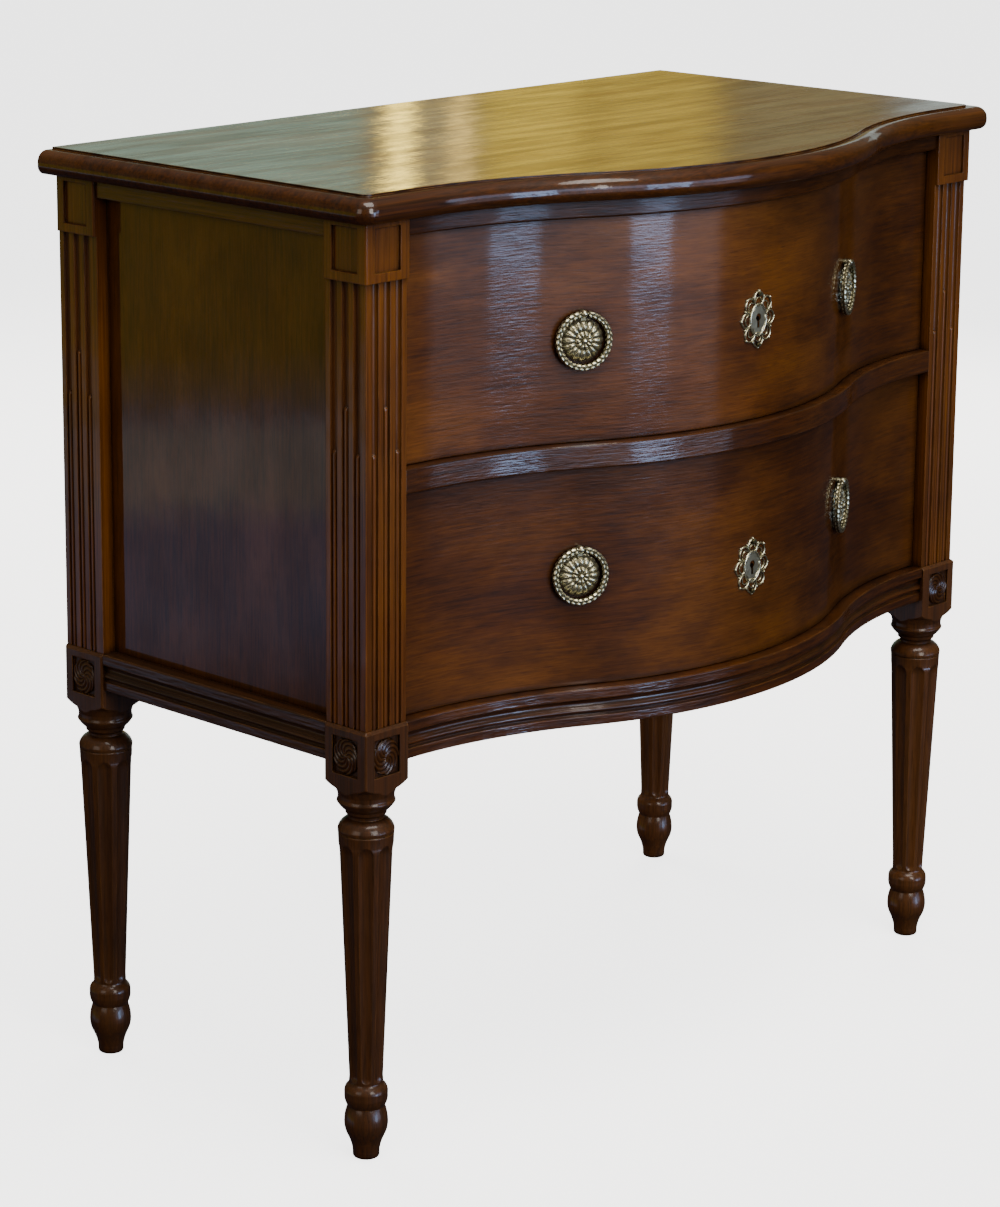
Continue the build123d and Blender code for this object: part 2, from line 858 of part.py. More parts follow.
def rosette_plate(side, height):
    """Handle rosette with petals, and the eye that carries the ring."""
    seat = handle_plane(side, height)
    points = [
        (radius * rosette_radius, up * rosette_radius) for radius, up in rosette_shares
    ]
    points.append((0, -rosette_radius * rosette_shares[1][1]))
    points.append((rosette_radius, -rosette_radius * rosette_shares[1][1]))
    face = make_face(Polyline(*points, close=True))
    plate = revolve(Plane.XZ * face, axis=Axis.Z)
    notch = petal_notch_share * rosette_radius
    for index in range(rosette_petals):
        angle = 360 * (index + 1 / 2) / rosette_petals
        spot = Rot(0, 0, angle) * Pos(rosette_radius, 0, 0)
        plate -= spot * Cylinder(notch, rosette_radius)
    stem = Pos(0, ring_radius, 0) * Cylinder(
        eye_radius,
        ring_stand_off + rosette_radius * rosette_shares[1][1],
        align=(Align.CENTER, Align.CENTER, Align.MIN),
    )
    stem = Pos(0, 0, -rosette_radius * rosette_shares[1][1]) * stem
    head = Pos(0, ring_radius, ring_stand_off) * Sphere(eye_radius)
    bridge = Pos(0, (rosette_radius + ring_radius) / 2, 0) * Box(
        eye_radius, ring_radius - rosette_radius + eye_radius, 2 * rosette_radius * rosette_shares[1][1]
    )
    plate = plate + stem + head + bridge
    plate -= Pos(0, ring_radius, ring_stand_off) * Rot(0, 90, 0) * Cylinder(
        hinge_pin_radius + hinge_pin_gap, 4 * eye_radius
    )
    plate = seat * plate
    return plate - behind_front(
        drawer_face_ahead, post_in_x, back_edge_y, (0, overall_height)
    )


def handle_ring(side, height):
    """Ring with a gap at its top, where two short pins enter the eye."""
    seat = handle_plane(side, height)
    ring = Torus(ring_radius, ring_section_radius)
    gap_half = eye_radius + eye_gap
    ring -= Pos(0, ring_radius, 0) * Box(
        2 * gap_half, 4 * ring_section_radius, 4 * ring_section_radius
    )
    for way in (-1, 1):
        length = gap_half + ring_section_radius - (eye_radius - hinge_pin_reach)
        middle = way * (eye_radius - hinge_pin_reach + length / 2)
        ring += Pos(middle, ring_radius, 0) * Rot(0, 90, 0) * Cylinder(hinge_pin_radius, length)
    return seat * Pos(0, 0, ring_stand_off) * ring


def handle_bolts(height):
    """Studs through a drawer front, each with its nut inside."""
    studs = []
    for side in (-1, 1):
        seat = handle_plane(side, height)
        inner = -drawer_front_thickness - slide_gap
        nut = Pos(0, 0, inner - nut_thickness / 2) * extrude(
            RegularPolygon(nut_radius, 6), amount=nut_thickness / 2, both=True
        )
        length = drawer_front_thickness + slide_gap + nut_thickness + bolt_tail
        shank = Cylinder(bolt_radius, length, align=(Align.CENTER, Align.CENTER, Align.MAX))
        stud = seat * (nut + Pos(0, 0, -slide_gap) * shank)
        studs.append(stud.solid())
    return Compound(children=studs)


def escutcheon(height):
    """Pierced keyhole plate of eight scrolls around an oval."""
    lobe = scroll_lobe_share * escutcheon_width
    reach_x = escutcheon_width / 2 - lobe
    reach_z = escutcheon_height / 2 - lobe

    def around(step):
        angle = 2 * math.pi * step / scroll_lobes
        return Pos(reach_x * math.cos(angle), reach_z * math.sin(angle))

    outline = Ellipse(cartouche_share * escutcheon_width, cartouche_share * escutcheon_height)
    for index in range(scroll_lobes):
        outline += around(index) * Circle(lobe)
    for index in range(scroll_lobes):
        outline -= around(index + 1 / 2) * Circle(scroll_hole_share * lobe)
    solid = extrude(outline, amount=escutcheon_width)
    plane = Plane(
        origin=(0, front_y(0, drawer_face_ahead) + escutcheon_width / 2, height),
        x_dir=(1, 0, 0),
        z_dir=(0, -1, 0),
    )
    z_pair = (height - escutcheon_height, height + escutcheon_height)
    skin = behind_front(
        drawer_face_ahead + escutcheon_thickness, post_in_x, back_edge_y, z_pair
    ) - behind_front(
        drawer_face_ahead,
        post_in_x,
        back_edge_y + cut_over,
        (z_pair[0] - cut_over, z_pair[1] + cut_over),
    )
    plate = (plane * solid) & skin
    start_y = front_y(0, drawer_face_ahead) - cut_over
    plate -= keyhole(height, start_y, 2 * cut_over)
    for place in (-pin_place, pin_place):
        plate -= rod((0, start_y, height + place), (0, 1, 0), pin_radius + joint_gap, 2 * cut_over)
    return plate


def escutcheon_pins(height):
    """Round-headed pins that hold a keyhole plate."""
    pins = []
    face_y = front_y(0, drawer_face_ahead + escutcheon_thickness)
    for place in (-pin_place, pin_place):
        shank = rod((0, face_y, height + place), (0, 1, 0), pin_radius, pin_length)
        head = Pos(0, face_y, height + place) * Sphere(pin_head_radius)
        head &= block(
            (-pin_head_radius, pin_head_radius),
            (face_y - pin_head_height, face_y),
            (height + place - pin_head_radius, height + place + pin_head_radius),
        )
        pins.append((shank + head).solid())
    return Compound(children=pins)


def lock_case(floor_z, lock_z):
    """Iron lock on the back of a drawer front, open above for its bolt."""
    top_z = floor_z + opening_height - drawer_head_gap - lock_head_gap
    y_pair = (lock_seat_y(), lock_seat_y() + lock_depth)
    case = block((-lock_width / 2, lock_width / 2), y_pair, (lock_z - lock_drop, top_z))
    half_x = bolt_tongue_width / 2 + slide_gap
    half_y = bolt_tongue_thickness / 2 + slide_gap
    case -= block(
        (-half_x, half_x),
        (lock_tongue_y() - half_y, lock_tongue_y() + half_y),
        (top_z - bolt_tongue_length - slide_gap, top_z + cut_over),
    )
    case -= keyhole(lock_z, lock_seat_y() - cut_over, lock_depth / 2 + cut_over)
    return case


def lock_bolt(floor_z):
    """The bolt that a key throws up into the rail above."""
    top_z = floor_z + opening_height - drawer_head_gap - lock_head_gap
    return block(
        (-bolt_tongue_width / 2, bolt_tongue_width / 2),
        (
            lock_tongue_y() - bolt_tongue_thickness / 2,
            lock_tongue_y() + bolt_tongue_thickness / 2,
        ),
        (top_z - bolt_tongue_length, top_z),
    )


def save(name, shape):
    """Write one piece under its own name."""
    export_step(shape, "parts/" + name + ".step")
    print(name, round(shape.volume))


front_post_mid_y = block_front_y + block_side / 2
rear_post_mid_y = post_back_y - block_side / 2

for place, centre_y, decorated in (
    ("front", front_post_mid_y, True),
    ("rear", rear_post_mid_y, False),
):
    post = corner_post(centre_y, decorated)
    leg = corner_leg(centre_y, decorated)
    save("post_" + place + "_right", post)
    save("post_" + place + "_left", mirrored(post))
    save("leg_" + place + "_right", leg)
    save("leg_" + place + "_left", mirrored(leg))

for name, piece in (
    ("side_panel", side_panel()),
    ("side_rail_top", side_top_rail()),
    ("side_rail_base", side_base_rail()),
    ("runner_upper", runner(upper_floor_z)),
    ("runner_lower", runner(block_top_z)),
    ("kicker", kicker()),
):
    save(name + "_right", piece)
    save(name + "_left", mirrored(piece))

save("top_panel", top_panel())
save("back_panel", back_panel())
save("back_rail_top", back_rail((carcass_top_z - back_rail_height, carcass_top_z)))
save("back_rail_base", back_rail((block_top_z - back_rail_height, block_top_z)))
save("front_rail_top", plain_front_rail((top_rail_z, carcass_top_z)) - bolt_mortise(top_rail_z))
save("front_rail_mid", plain_front_rail((mid_rail_z, upper_floor_z)) - bolt_mortise(mid_rail_z))
save("front_rail_base", front_base_rail())
save("dust_board", inner_board(mid_rail_z + (mid_rail_height - board_thickness) / 2))
save("bottom_board", inner_board(block_top_z - board_low_gap - board_thickness))
save("drawer_stops", drawer_stops())
save("glue_blocks", glue_blocks())

for level, floor_z, handle_share, escutcheon_share in (
    ("upper", upper_floor_z, handle_upper_share, escutcheon_upper_share),
    ("lower", block_top_z, handle_lower_share, escutcheon_lower_share),
):
    handle_z = floor_z + handle_share * opening_height
    lock_z = floor_z + escutcheon_share * opening_height
    side = drawer_side(floor_z)
    save("drawer_front_" + level, drawer_front(floor_z, handle_z, lock_z))
    save("drawer_side_right_" + level, side)
    save("drawer_side_left_" + level, mirrored(side))
    save("drawer_back_" + level, drawer_back(floor_z))
    save("drawer_bottom_" + level, drawer_bottom(floor_z))
    for hand, sign in (("left", -1), ("right", 1)):
        save("handle_rosette_" + hand + "_" + level, rosette_plate(sign, handle_z))
        save("handle_ring_" + hand + "_" + level, handle_ring(sign, handle_z))
    save("handle_bolts_" + level, handle_bolts(handle_z))
    save("escutcheon_" + level, escutcheon(lock_z))
    save("escutcheon_pins_" + level, escutcheon_pins(lock_z))
    save("lock_case_" + level, lock_case(floor_z, lock_z))
    save("lock_bolt_" + level, lock_bolt(floor_z))
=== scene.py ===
import json
import math
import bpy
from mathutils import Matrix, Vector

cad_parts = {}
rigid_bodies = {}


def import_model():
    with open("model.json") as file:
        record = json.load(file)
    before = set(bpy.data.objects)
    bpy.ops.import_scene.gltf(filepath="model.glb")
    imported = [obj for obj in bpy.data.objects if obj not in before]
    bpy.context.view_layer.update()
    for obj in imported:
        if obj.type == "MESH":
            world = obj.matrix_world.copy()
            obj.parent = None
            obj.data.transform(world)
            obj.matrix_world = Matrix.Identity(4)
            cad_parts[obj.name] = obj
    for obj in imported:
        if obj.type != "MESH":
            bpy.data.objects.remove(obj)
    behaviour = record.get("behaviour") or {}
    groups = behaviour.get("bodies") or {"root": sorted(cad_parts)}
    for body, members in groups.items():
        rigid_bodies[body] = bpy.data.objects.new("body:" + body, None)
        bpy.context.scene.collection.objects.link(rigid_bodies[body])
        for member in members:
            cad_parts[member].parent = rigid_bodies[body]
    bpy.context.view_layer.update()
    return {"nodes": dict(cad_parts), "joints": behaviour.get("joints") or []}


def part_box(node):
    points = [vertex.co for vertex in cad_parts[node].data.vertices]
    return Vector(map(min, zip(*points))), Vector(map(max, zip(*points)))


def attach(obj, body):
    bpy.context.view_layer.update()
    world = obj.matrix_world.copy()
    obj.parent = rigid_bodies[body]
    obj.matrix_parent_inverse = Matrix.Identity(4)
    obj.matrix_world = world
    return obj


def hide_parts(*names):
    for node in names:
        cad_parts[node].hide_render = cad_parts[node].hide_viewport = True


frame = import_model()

from types import SimpleNamespace
from typing import NamedTuple

import bmesh
import bpy
from mathutils import Matrix, Vector

bl_info = {
    "name": "Serpentine Chest of Drawers",
    "version": (1, 0, 0),
    "blender": (4, 5, 0),
    "location": "View3D > Sidebar > Chest",
    "description": "Dresses a serpentine chest of drawers in polished wood, carving and cast brass",
    "category": "Object",
}

NODES = frame["nodes"]
MM = 0.001
PLACES = ("front_left", "front_right", "rear_left", "rear_right")
LEVELS = ("upper", "lower")
SIDES = ("left", "right")

# Sizes that follow the CAD model
BOW_RADIUS = 0.377  # of the drawers' bowed face
RING_STAND_OFF = 5.0 * MM  # from a drawer's face to the middle of its rings
RING_GAP = 3.65 * MM  # half the opening of a ring at its eye
PIN_RADIUS = 1.3 * MM
PIN_LENGTH = 5.6 * MM
PIN_PLACE = 4.0 * MM  # from the eye's middle to a pin's
EYE_RADIUS = 3.3 * MM
STEM_RADII = (3.1 * MM, 2.5 * MM)  # of the stem that carries the eye
BRIDGE_SIZE = (4.4 * MM, 6.5 * MM, 2.6 * MM)  # of the block that ties the eye to the boss
WHORL_HEIGHT = 365.0 * MM  # of a carved panel's middle above the floor
PANEL_SINK = 2.6 * MM  # depth of a carved panel
WHORL_REACH = 14.8 * MM  # half a whorl's width
WHORL_STRETCH = 1.08  # its height over its width

# Reaches of the wood's edge wear and of its painted shade in corners
WEAR_RADIUS = 0.0011
SHADE_REACH = 0.010


# Sizes and colours that a user would change


class WoodSettings(bpy.types.PropertyGroup):
    """Colours and finish of the wood."""

    deep: bpy.props.FloatVectorProperty(
        name="Deep grain", description="Colour of the darkest grain",
        subtype="COLOR", size=3, min=0.0, max=1.0, default=(0.026, 0.0082, 0.0020),
    )
    body: bpy.props.FloatVectorProperty(
        name="Body", description="Main colour of the polished wood",
        subtype="COLOR", size=3, min=0.0, max=1.0, default=(0.100, 0.0275, 0.0024),
    )
    warm: bpy.props.FloatVectorProperty(
        name="Warm figure", description="Colour of the warm, faded patches",
        subtype="COLOR", size=3, min=0.0, max=1.0, default=(0.205, 0.068, 0.0050),
    )
    worn: bpy.props.FloatVectorProperty(
        name="Worn edge", description="Colour where hands have rubbed the edges",
        subtype="COLOR", size=3, min=0.0, max=1.0, default=(0.33, 0.135, 0.022),
    )
    faded: bpy.props.FloatVectorProperty(
        name="Faded", description="Greyer brown that the legs lean toward",
        subtype="COLOR", size=3, min=0.0, max=1.0, default=(0.085, 0.050, 0.028),
    )
    inner: bpy.props.FloatVectorProperty(
        name="Inner wood", description="Colour of the unpolished inner boards",
        subtype="COLOR", size=3, min=0.0, max=1.0, default=(0.30, 0.165, 0.072),
    )
    gloss: bpy.props.FloatProperty(
        name="Polish", description="Strength of the clear polish over the wood",
        subtype="FACTOR", min=0.0, max=1.0, default=0.75,
    )


class BrassSettings(bpy.types.PropertyGroup):
    """Colours and sizes of the brass mounts."""

    bright: bpy.props.FloatVectorProperty(
        name="Bright brass", description="Colour of the rubbed high points",
        subtype="COLOR", size=3, min=0.0, max=1.0, default=(0.80, 0.75, 0.50),
    )
    dull: bpy.props.FloatVectorProperty(
        name="Dull brass", description="Colour of the tarnish in the hollows",
        subtype="COLOR", size=3, min=0.0, max=1.0, default=(0.10, 0.085, 0.040),
    )
    rosette_radius: bpy.props.FloatProperty(
        name="Rosette radius", description="Radius of a handle's petalled boss",
        unit="LENGTH", min=0.01, max=0.03, default=19.0 * MM,
    )
    rosette_height: bpy.props.FloatProperty(
        name="Rosette height", description="How far the boss stands off the drawer",
        unit="LENGTH", min=0.002, max=0.02, default=8.6 * MM,
    )
    ring_radius: bpy.props.FloatProperty(
        name="Ring radius", description="Radius of the ring's middle line",
        unit="LENGTH", min=0.015, max=0.04, default=23.2 * MM,
    )
    ring_section: bpy.props.FloatProperty(
        name="Ring thickness", description="Radius of the ring's section, leaves included",
        unit="LENGTH", min=0.001, max=0.006, default=3.5 * MM,
    )


class StudioSettings(bpy.types.PropertyGroup):
    """Floor and light of the studio."""

    paper: bpy.props.FloatVectorProperty(
        name="Paper", description="Colour of the pale floor and backdrop",
        subtype="COLOR", size=3, min=0.0, max=1.0, default=(0.86, 0.86, 0.86),
    )
    glow: bpy.props.FloatProperty(
        name="Paper glow", description="How strongly the lit paper glows from behind",
        min=0.0, max=20.0, default=3.5,
    )
    key: bpy.props.FloatProperty(
        name="Window light", description="Power of the tall soft window in front",
        unit="POWER", min=0.0, max=2000.0, default=52.0,
    )


# Small helpers for node materials


def new_material(name):
    """An empty node material with its output."""
    material = bpy.data.materials.new(name)
    material.use_nodes = True
    tree = material.node_tree
    tree.nodes.clear()
    output = tree.nodes.new("ShaderNodeOutputMaterial")
    shader = tree.nodes.new("ShaderNodeBsdfPrincipled")
    tree.links.new(shader.outputs["BSDF"], output.inputs["Surface"])
    return material, tree, shader


def plug(tree, source, target):
    """Link an output, or set a plain value, on an input."""
    if isinstance(source, bpy.types.NodeSocket):
        tree.links.new(source, target)
    else:
        target.default_value = source


def plug_all(tree, node, sources):
    """Link or set several inputs of a node by name."""
    for name, source in sources.items():
        plug(tree, source, node.inputs[name])


def maths(tree, operation, first, second=0.5):
    """One Math node."""
    node = tree.nodes.new("ShaderNodeMath")
    node.operation = operation
    plug(tree, first, node.inputs[0])
    plug(tree, second, node.inputs[1])
    return node.outputs[0]


def product(tree, first, *others):
    """Values multiplied together."""
    for other in others:
        first = maths(tree, "MULTIPLY", first, other)
    return first


def vector_maths(tree, operation, first, second=None, result="Vector"):
    """One Vector Math node."""
    node = tree.nodes.new("ShaderNodeVectorMath")
    node.operation = operation
    plug(tree, first, node.inputs[0])
    if second is not None:
        plug(tree, second, node.inputs[1])
    return node.outputs[result]


def remap(tree, value, low, high, out_low=0.0, out_high=1.0, smooth=False):
    """Map a range of a value to another, clamped."""
    node = tree.nodes.new("ShaderNodeMapRange")
    node.clamp = True
    if smooth:
        node.interpolation_type = "SMOOTHSTEP"
    plug_all(tree, node, {
        "Value": value, "From Min": low, "From Max": high, "To Min": out_low, "To Max": out_high,
    })
    return node.outputs["Result"]


def blend_colour(tree, factor, first, second):
    """Mix two colours by a factor."""
    node = tree.nodes.new("ShaderNodeMix")
    node.data_type = "RGBA"
    plug(tree, factor, node.inputs["Factor"])
    for source, target in ((first, node.inputs["A"]), (second, node.inputs["B"])):
        if not isinstance(source, bpy.types.NodeSocket):
            source = (*source[:3], 1.0)
        plug(tree, source, target)
    return node.outputs["Result"]


def scaled_colour(tree, colour, shade):
    """A colour made lighter or darker by a value."""
    node = tree.nodes.new("ShaderNodeVectorMath")
    node.operation = "SCALE"
    plug(tree, colour, node.inputs[0])
    plug(tree, shade, node.inputs["Scale"])
    return node.outputs["Vector"]


def place_pattern(tree, scale=(1.0, 1.0, 1.0), offset=(0.0, 0.0, 0.0)):
    """The piece's own coordinates, in metres, scaled and moved."""
    coords = tree.nodes.new("ShaderNodeTexCoord")
    mapping = tree.nodes.new("ShaderNodeMapping")
    plug_all(tree, mapping, {
        "Vector": coords.outputs["Object"], "Location": offset, "Scale": scale,
    })
    return mapping.outputs["Vector"]


def own_axis(tree, axis):
    """A point's own X, Y or Z, in metres."""
    split = tree.nodes.new("ShaderNodeSeparateXYZ")
    tree.links.new(place_pattern(tree), split.inputs[0])
    return split.outputs[axis]


def own_mark(tree, name):
    """A value that a piece's own mesh carries."""
    node = tree.nodes.new("ShaderNodeAttribute")
    node.attribute_type = "GEOMETRY"
    node.attribute_name = name
    return node.outputs["Fac"]


def cloudy(tree, vector, scale, detail=2.0, rough=0.5, warp=0.0):
    """Noise between 0 and 1."""
    node = tree.nodes.new("ShaderNodeTexNoise")
    plug_all(tree, node, {
        "Vector": vector, "Scale": scale, "Detail": detail, "Roughness": rough, "Distortion": warp,
    })
    return node.outputs["Fac"]


def bumped(tree, height, strength, distance, below=None):
    """A Bump node, over another where one is given."""
    node = tree.nodes.new("ShaderNodeBump")
    plug_all(tree, node, {"Height": height, "Strength": strength, "Distance": distance})
    if below is not None:
        tree.links.new(below, node.inputs["Normal"])
    return node.outputs["Normal"]


def edge_wear(tree, radius):
    """About 1 on sharp outer edges and 0 on flat ground, and the normal of rounded edges."""
    bevel = tree.nodes.new("ShaderNodeBevel")
    bevel.samples = 6
    bevel.inputs["Radius"].default_value = radius
    geometry = tree.nodes.new("ShaderNodeNewGeometry")
    rounded = bevel.outputs["Normal"]
    likeness = vector_maths(tree, "DOT_PRODUCT", rounded, geometry.outputs["Normal"], "Value")
    return remap(tree, likeness, 0.985, 0.80), rounded


def openness(tree, distance):
    """1 in the open and 0 deep in corners."""
    node = tree.nodes.new("ShaderNodeAmbientOcclusion")
    node.samples = 6
    node.inputs["Distance"].default_value = distance
    return node.outputs["AO"]


# Materials of this chest


# Stretch of each pattern for solid wood with its grain along X, Y or Z, and for the veneer on
# the bowed fronts and the side panels
GRAIN_BROAD = {
    "X": (1.0, 9.0, 9.0), "Y": (9.0, 1.0, 9.0), "Z": (9.0, 9.0, 1.0),
    "bow": (1.3, 1.5, 3.0), "panel": (3.0, 3.0, 1.6),
}
GRAIN_FINE = {
    "X": (0.5, 42.0, 42.0), "Y": (42.0, 0.5, 42.0), "Z": (42.0, 42.0, 0.5),
    "bow": (2.6, 3.5, 58.0), "panel": (58.0, 58.0, 3.0),
}
BRUSH_MARKS = {
    "X": (0.3, 2.0, 2.0), "Y": (2.0, 0.3, 2.0), "Z": (2.0, 2.0, 0.3),
    "bow": (0.5, 0.6, 2.6), "panel": (2.6, 2.6, 0.5),
}
VENEERS = ("bow", "panel")


class Polish(NamedTuple):
    """The wood and the finish of one polished piece."""

    grain: str  # key of the stretch tables
    seed: float  # moves every pattern
    # On the legs, the drawer fronts and the top rail, this share is painted light and shade
    darker: float = 0.0  # share taken off the wood's colour, or added to it below 0
    warmth: float = 0.5  # how far the warm figure spreads
    figured: float = 0.55  # how strongly the warm figure shows
    smoky: float = 0.0  # share taken off in dark clouds
    # Painted shade: the next share is taken off toward the right-hand end, where less light falls
    dusk: float = 0.0  # share taken off at the right-hand end
    faded: float = 0.0  # how far the colour leans toward the faded one
    calm: float = 0.3  # how little the fine grain shows
    gloss: float = None  # strength of the clear coat, or None for the user's setting
    dull_grain: float = 0.72  # strength of the coat over dark grain
    coat_rough: float = 0.10  # roughness of the coat
    ripple: float = 1.0  # strength of the waves
    comb: float = 1.0  # strength of the coat's marks along the grain
    lean: float = 0.0  # degrees that the coat leans back
    carved: bool = False  # whether the mesh marks its rubbed crests


def wood_patterns(tree, look):
    """The patterns that the colour, the coat and the relief of a piece share."""
    offset = tuple(look.seed * step for step in (3.1, 1.7, 2.3))
    broad = place_pattern(tree, GRAIN_BROAD[look.grain], offset)
    fine = place_pattern(tree, GRAIN_FINE[look.grain], offset)
    plain = place_pattern(tree, offset=offset)
    hair = cloudy(tree, fine, 15.0, 3.0, 0.7)
    streak = remap(tree, hair, 0.34, 0.66, 0.58 + 0.32 * look.calm, 1.28 - 0.20 * look.calm)
    pores = cloudy(tree, fine, 26.0, 1.0, 0.5)
    pore = remap(tree, pores, 0.60, 0.70, 1.0, 0.45 + 0.35 * look.calm)
    return SimpleNamespace(
        broad=broad, fine=fine, plain=plain, hair=hair, pore=pore,
        shade=product(tree, streak, pore),
        brush=place_pattern(tree, BRUSH_MARKS[look.grain], offset),
        mottle=cloudy(tree, broad if look.grain in VENEERS else plain, 7.0, 4.0, 0.62),
        wave=cloudy(tree, plain, 26.0, 1.0, 0.5),
        # ambient occlusion: 1 in the open and 0 in corners, where shade is painted
        unshaded=openness(tree, SHADE_REACH),
    )


def wood_colour(tree, look, maps, edges):
    """Grain and warm figure, darker in clouds, with painted shade in hollows and toward the right-hand
    end, and paler where it is rubbed.
    """
    wood = bpy.context.scene.chest_wood
    figure = cloudy(tree, maps.broad, 1.7, 3.0, 0.55, 0.7)
    fibre = cloudy(tree, maps.fine, 7.0, 4.0, 0.62, 0.25)
    warm = maths(tree, "ADD", product(tree, figure, 0.6), product(tree, maps.mottle, 0.4))
    warm = remap(tree, warm, 0.52 - 0.22 * look.warmth, 0.80 - 0.14 * look.warmth, smooth=True)
    body = remap(tree, fibre, 0.32, 0.60, 0.35 * look.calm, 1.0)
    colour = blend_colour(tree, body, wood.deep, wood.body)
    colour = blend_colour(tree, product(tree, warm, look.figured), colour, wood.warm)
    if look.faded:
        colour = blend_colour(tree, look.faded, colour, wood.faded)
    # Painted shade: the colour darkens in hollows, corners and recesses where shade falls
    corner_shade = remap(tree, maps.unshaded, 0.35, 0.90, 0.12, 1.0)
    tint = product(tree, maps.shade, corner_shade, 1.0 - look.darker)
    if look.smoky:
        tint = product(tree, tint, remap(tree, maps.mottle, 0.38, 0.60, 1.0 - look.smoky, 1.0))
    # Painted shade: darker toward the right-hand end, where the bowed front turns away from the light
    if look.dusk:
        fall = remap(tree, own_axis(tree, "X"), -0.10, 0.12, 1.0, 1.0 - look.dusk, smooth=True)
        tint = product(tree, tint, fall)
    patchy = remap(tree, cloudy(tree, maps.plain, 38.0, 2.0, 0.6), 0.38, 0.60)
    wear = product(tree, edges, patchy, 0.6)
    if look.carved:
        wear = maths(tree, "MAXIMUM", wear, product(tree, own_mark(tree, "crest"), 0.07))
    return blend_colour(tree, wear, scaled_colour(tree, colour, tint), wood.worn)


def coat_weight(tree, look, maps):
    """Strength of the clear coat, less in hollows as painted shade on its reflection, and less over dark
    grain and in smears.
    """
    full = bpy.context.scene.chest_wood.gloss if look.gloss is None else look.gloss
    # Painted shade: the coat, and so its reflection, is weakened in hollows where shade falls
    weight = remap(tree, maps.unshaded, 0.45, 0.88, 0.12 * full, full)
    over_grain = remap(tree, maps.shade, 0.35, 0.80, look.dull_grain, 1.0)
    smear = cloudy(tree, maps.broad, 7.0, 3.0, 0.6)
    smeared = remap(tree, smear, 0.36, 0.64, 0.3 + 0.7 * look.dull_grain, 1.0)
    return product(tree, weight, over_grain, smeared)


def wood_relief(tree, look, maps, rounded):
    """Waves, hairs and pores of the wood itself."""
    normal = bumped(tree, maps.wave, 0.12 * look.ripple, 0.004, rounded)
    normal = bumped(tree, maps.hair, 0.12 * look.ripple, 0.0006, normal)
    return bumped(tree, maps.pore, 0.22 * look.ripple, 0.00025, normal)


def coat_relief(tree, look, maps, rounded):
    """Waves, brush marks and comb marks of the clear coat."""
    normal = bumped(tree, maps.wave, 0.10 * look.ripple, 0.004, rounded)
    pebble = cloudy(tree, maps.brush, 190.0, 2.0, 0.5)
    normal = bumped(tree, pebble, 0.10 * look.ripple, 0.0010, normal)
    comb_marks = cloudy(tree, maps.fine, 11.0, 2.0, 0.6)
    normal = bumped(tree, comb_marks, 0.16 * look.comb, 0.0005, normal)
    if look.lean:
        slope = product(tree, own_axis(tree, "Z"), -math.tan(math.radians(look.lean)))
        normal = bumped(tree, slope, 1.0, 1.0, normal)
    return normal


def polished_wood(name, look):
    """French-polished mahogany."""
    material, tree, shader = new_material(name)
    maps = wood_patterns(tree, look)
    edges, rounded = edge_wear(tree, WEAR_RADIUS)
    rough = cloudy(tree, maps.plain, 11.0, 3.0, 0.6)
    plug_all(tree, shader, {
        "Base Color": wood_colour(tree, look, maps, edges),
        "Roughness": remap(tree, rough, 0.3, 0.7, 0.34, 0.50),
        "IOR": 1.46,
        "Specular IOR Level": 0.18,
        "Normal": wood_relief(tree, look, maps, rounded),
        "Coat Weight": coat_weight(tree, look, maps),
        "Coat Roughness": look.coat_rough,
        "Coat IOR": 1.5,
        "Coat Normal": coat_relief(tree, look, maps, rounded),
    })
    return material


def plain_wood(name, grain, seed):
    """Unpolished oak and pine of the inside and back."""
    wood = bpy.context.scene.chest_wood
    material, tree, shader = new_material(name)
    offset = (seed * 2.9, seed * 1.3, seed * 2.1)
    stretched = place_pattern(tree, GRAIN_FINE[grain], offset)
    plain = place_pattern(tree, offset=offset)
    fibre = cloudy(tree, stretched, 2.2, 4.0, 0.6, 0.35)
    hair = cloudy(tree, stretched, 13.0, 2.0, 0.6)
    stain = cloudy(tree, plain, 5.0, 3.0, 0.6)
    dark = tuple(channel * 0.50 for channel in wood.inner)
    colour = blend_colour(tree, remap(tree, fibre, 0.35, 0.65), dark, wood.inner)
    # Painted shade: the wood's hair and stains are darkened further by ambient occlusion in corners and
    # recesses
    shade = product(
        tree, remap(tree, hair, 0.35, 0.65, 0.75, 1.1), remap(tree, stain, 0.35, 0.7, 0.72, 1.05),
        remap(tree, openness(tree, 0.03), 0.2, 0.9, 0.35, 1.0)
    )
    plug_all(tree, shader, {
        "Base Color": scaled_colour(tree, colour, shade),
        "Roughness": 0.72,
        "Specular IOR Level": 0.3,
        "Normal": bumped(tree, hair, 0.25, 0.0004, bumped(tree, fibre, 0.35, 0.0012)),
    })
    return material


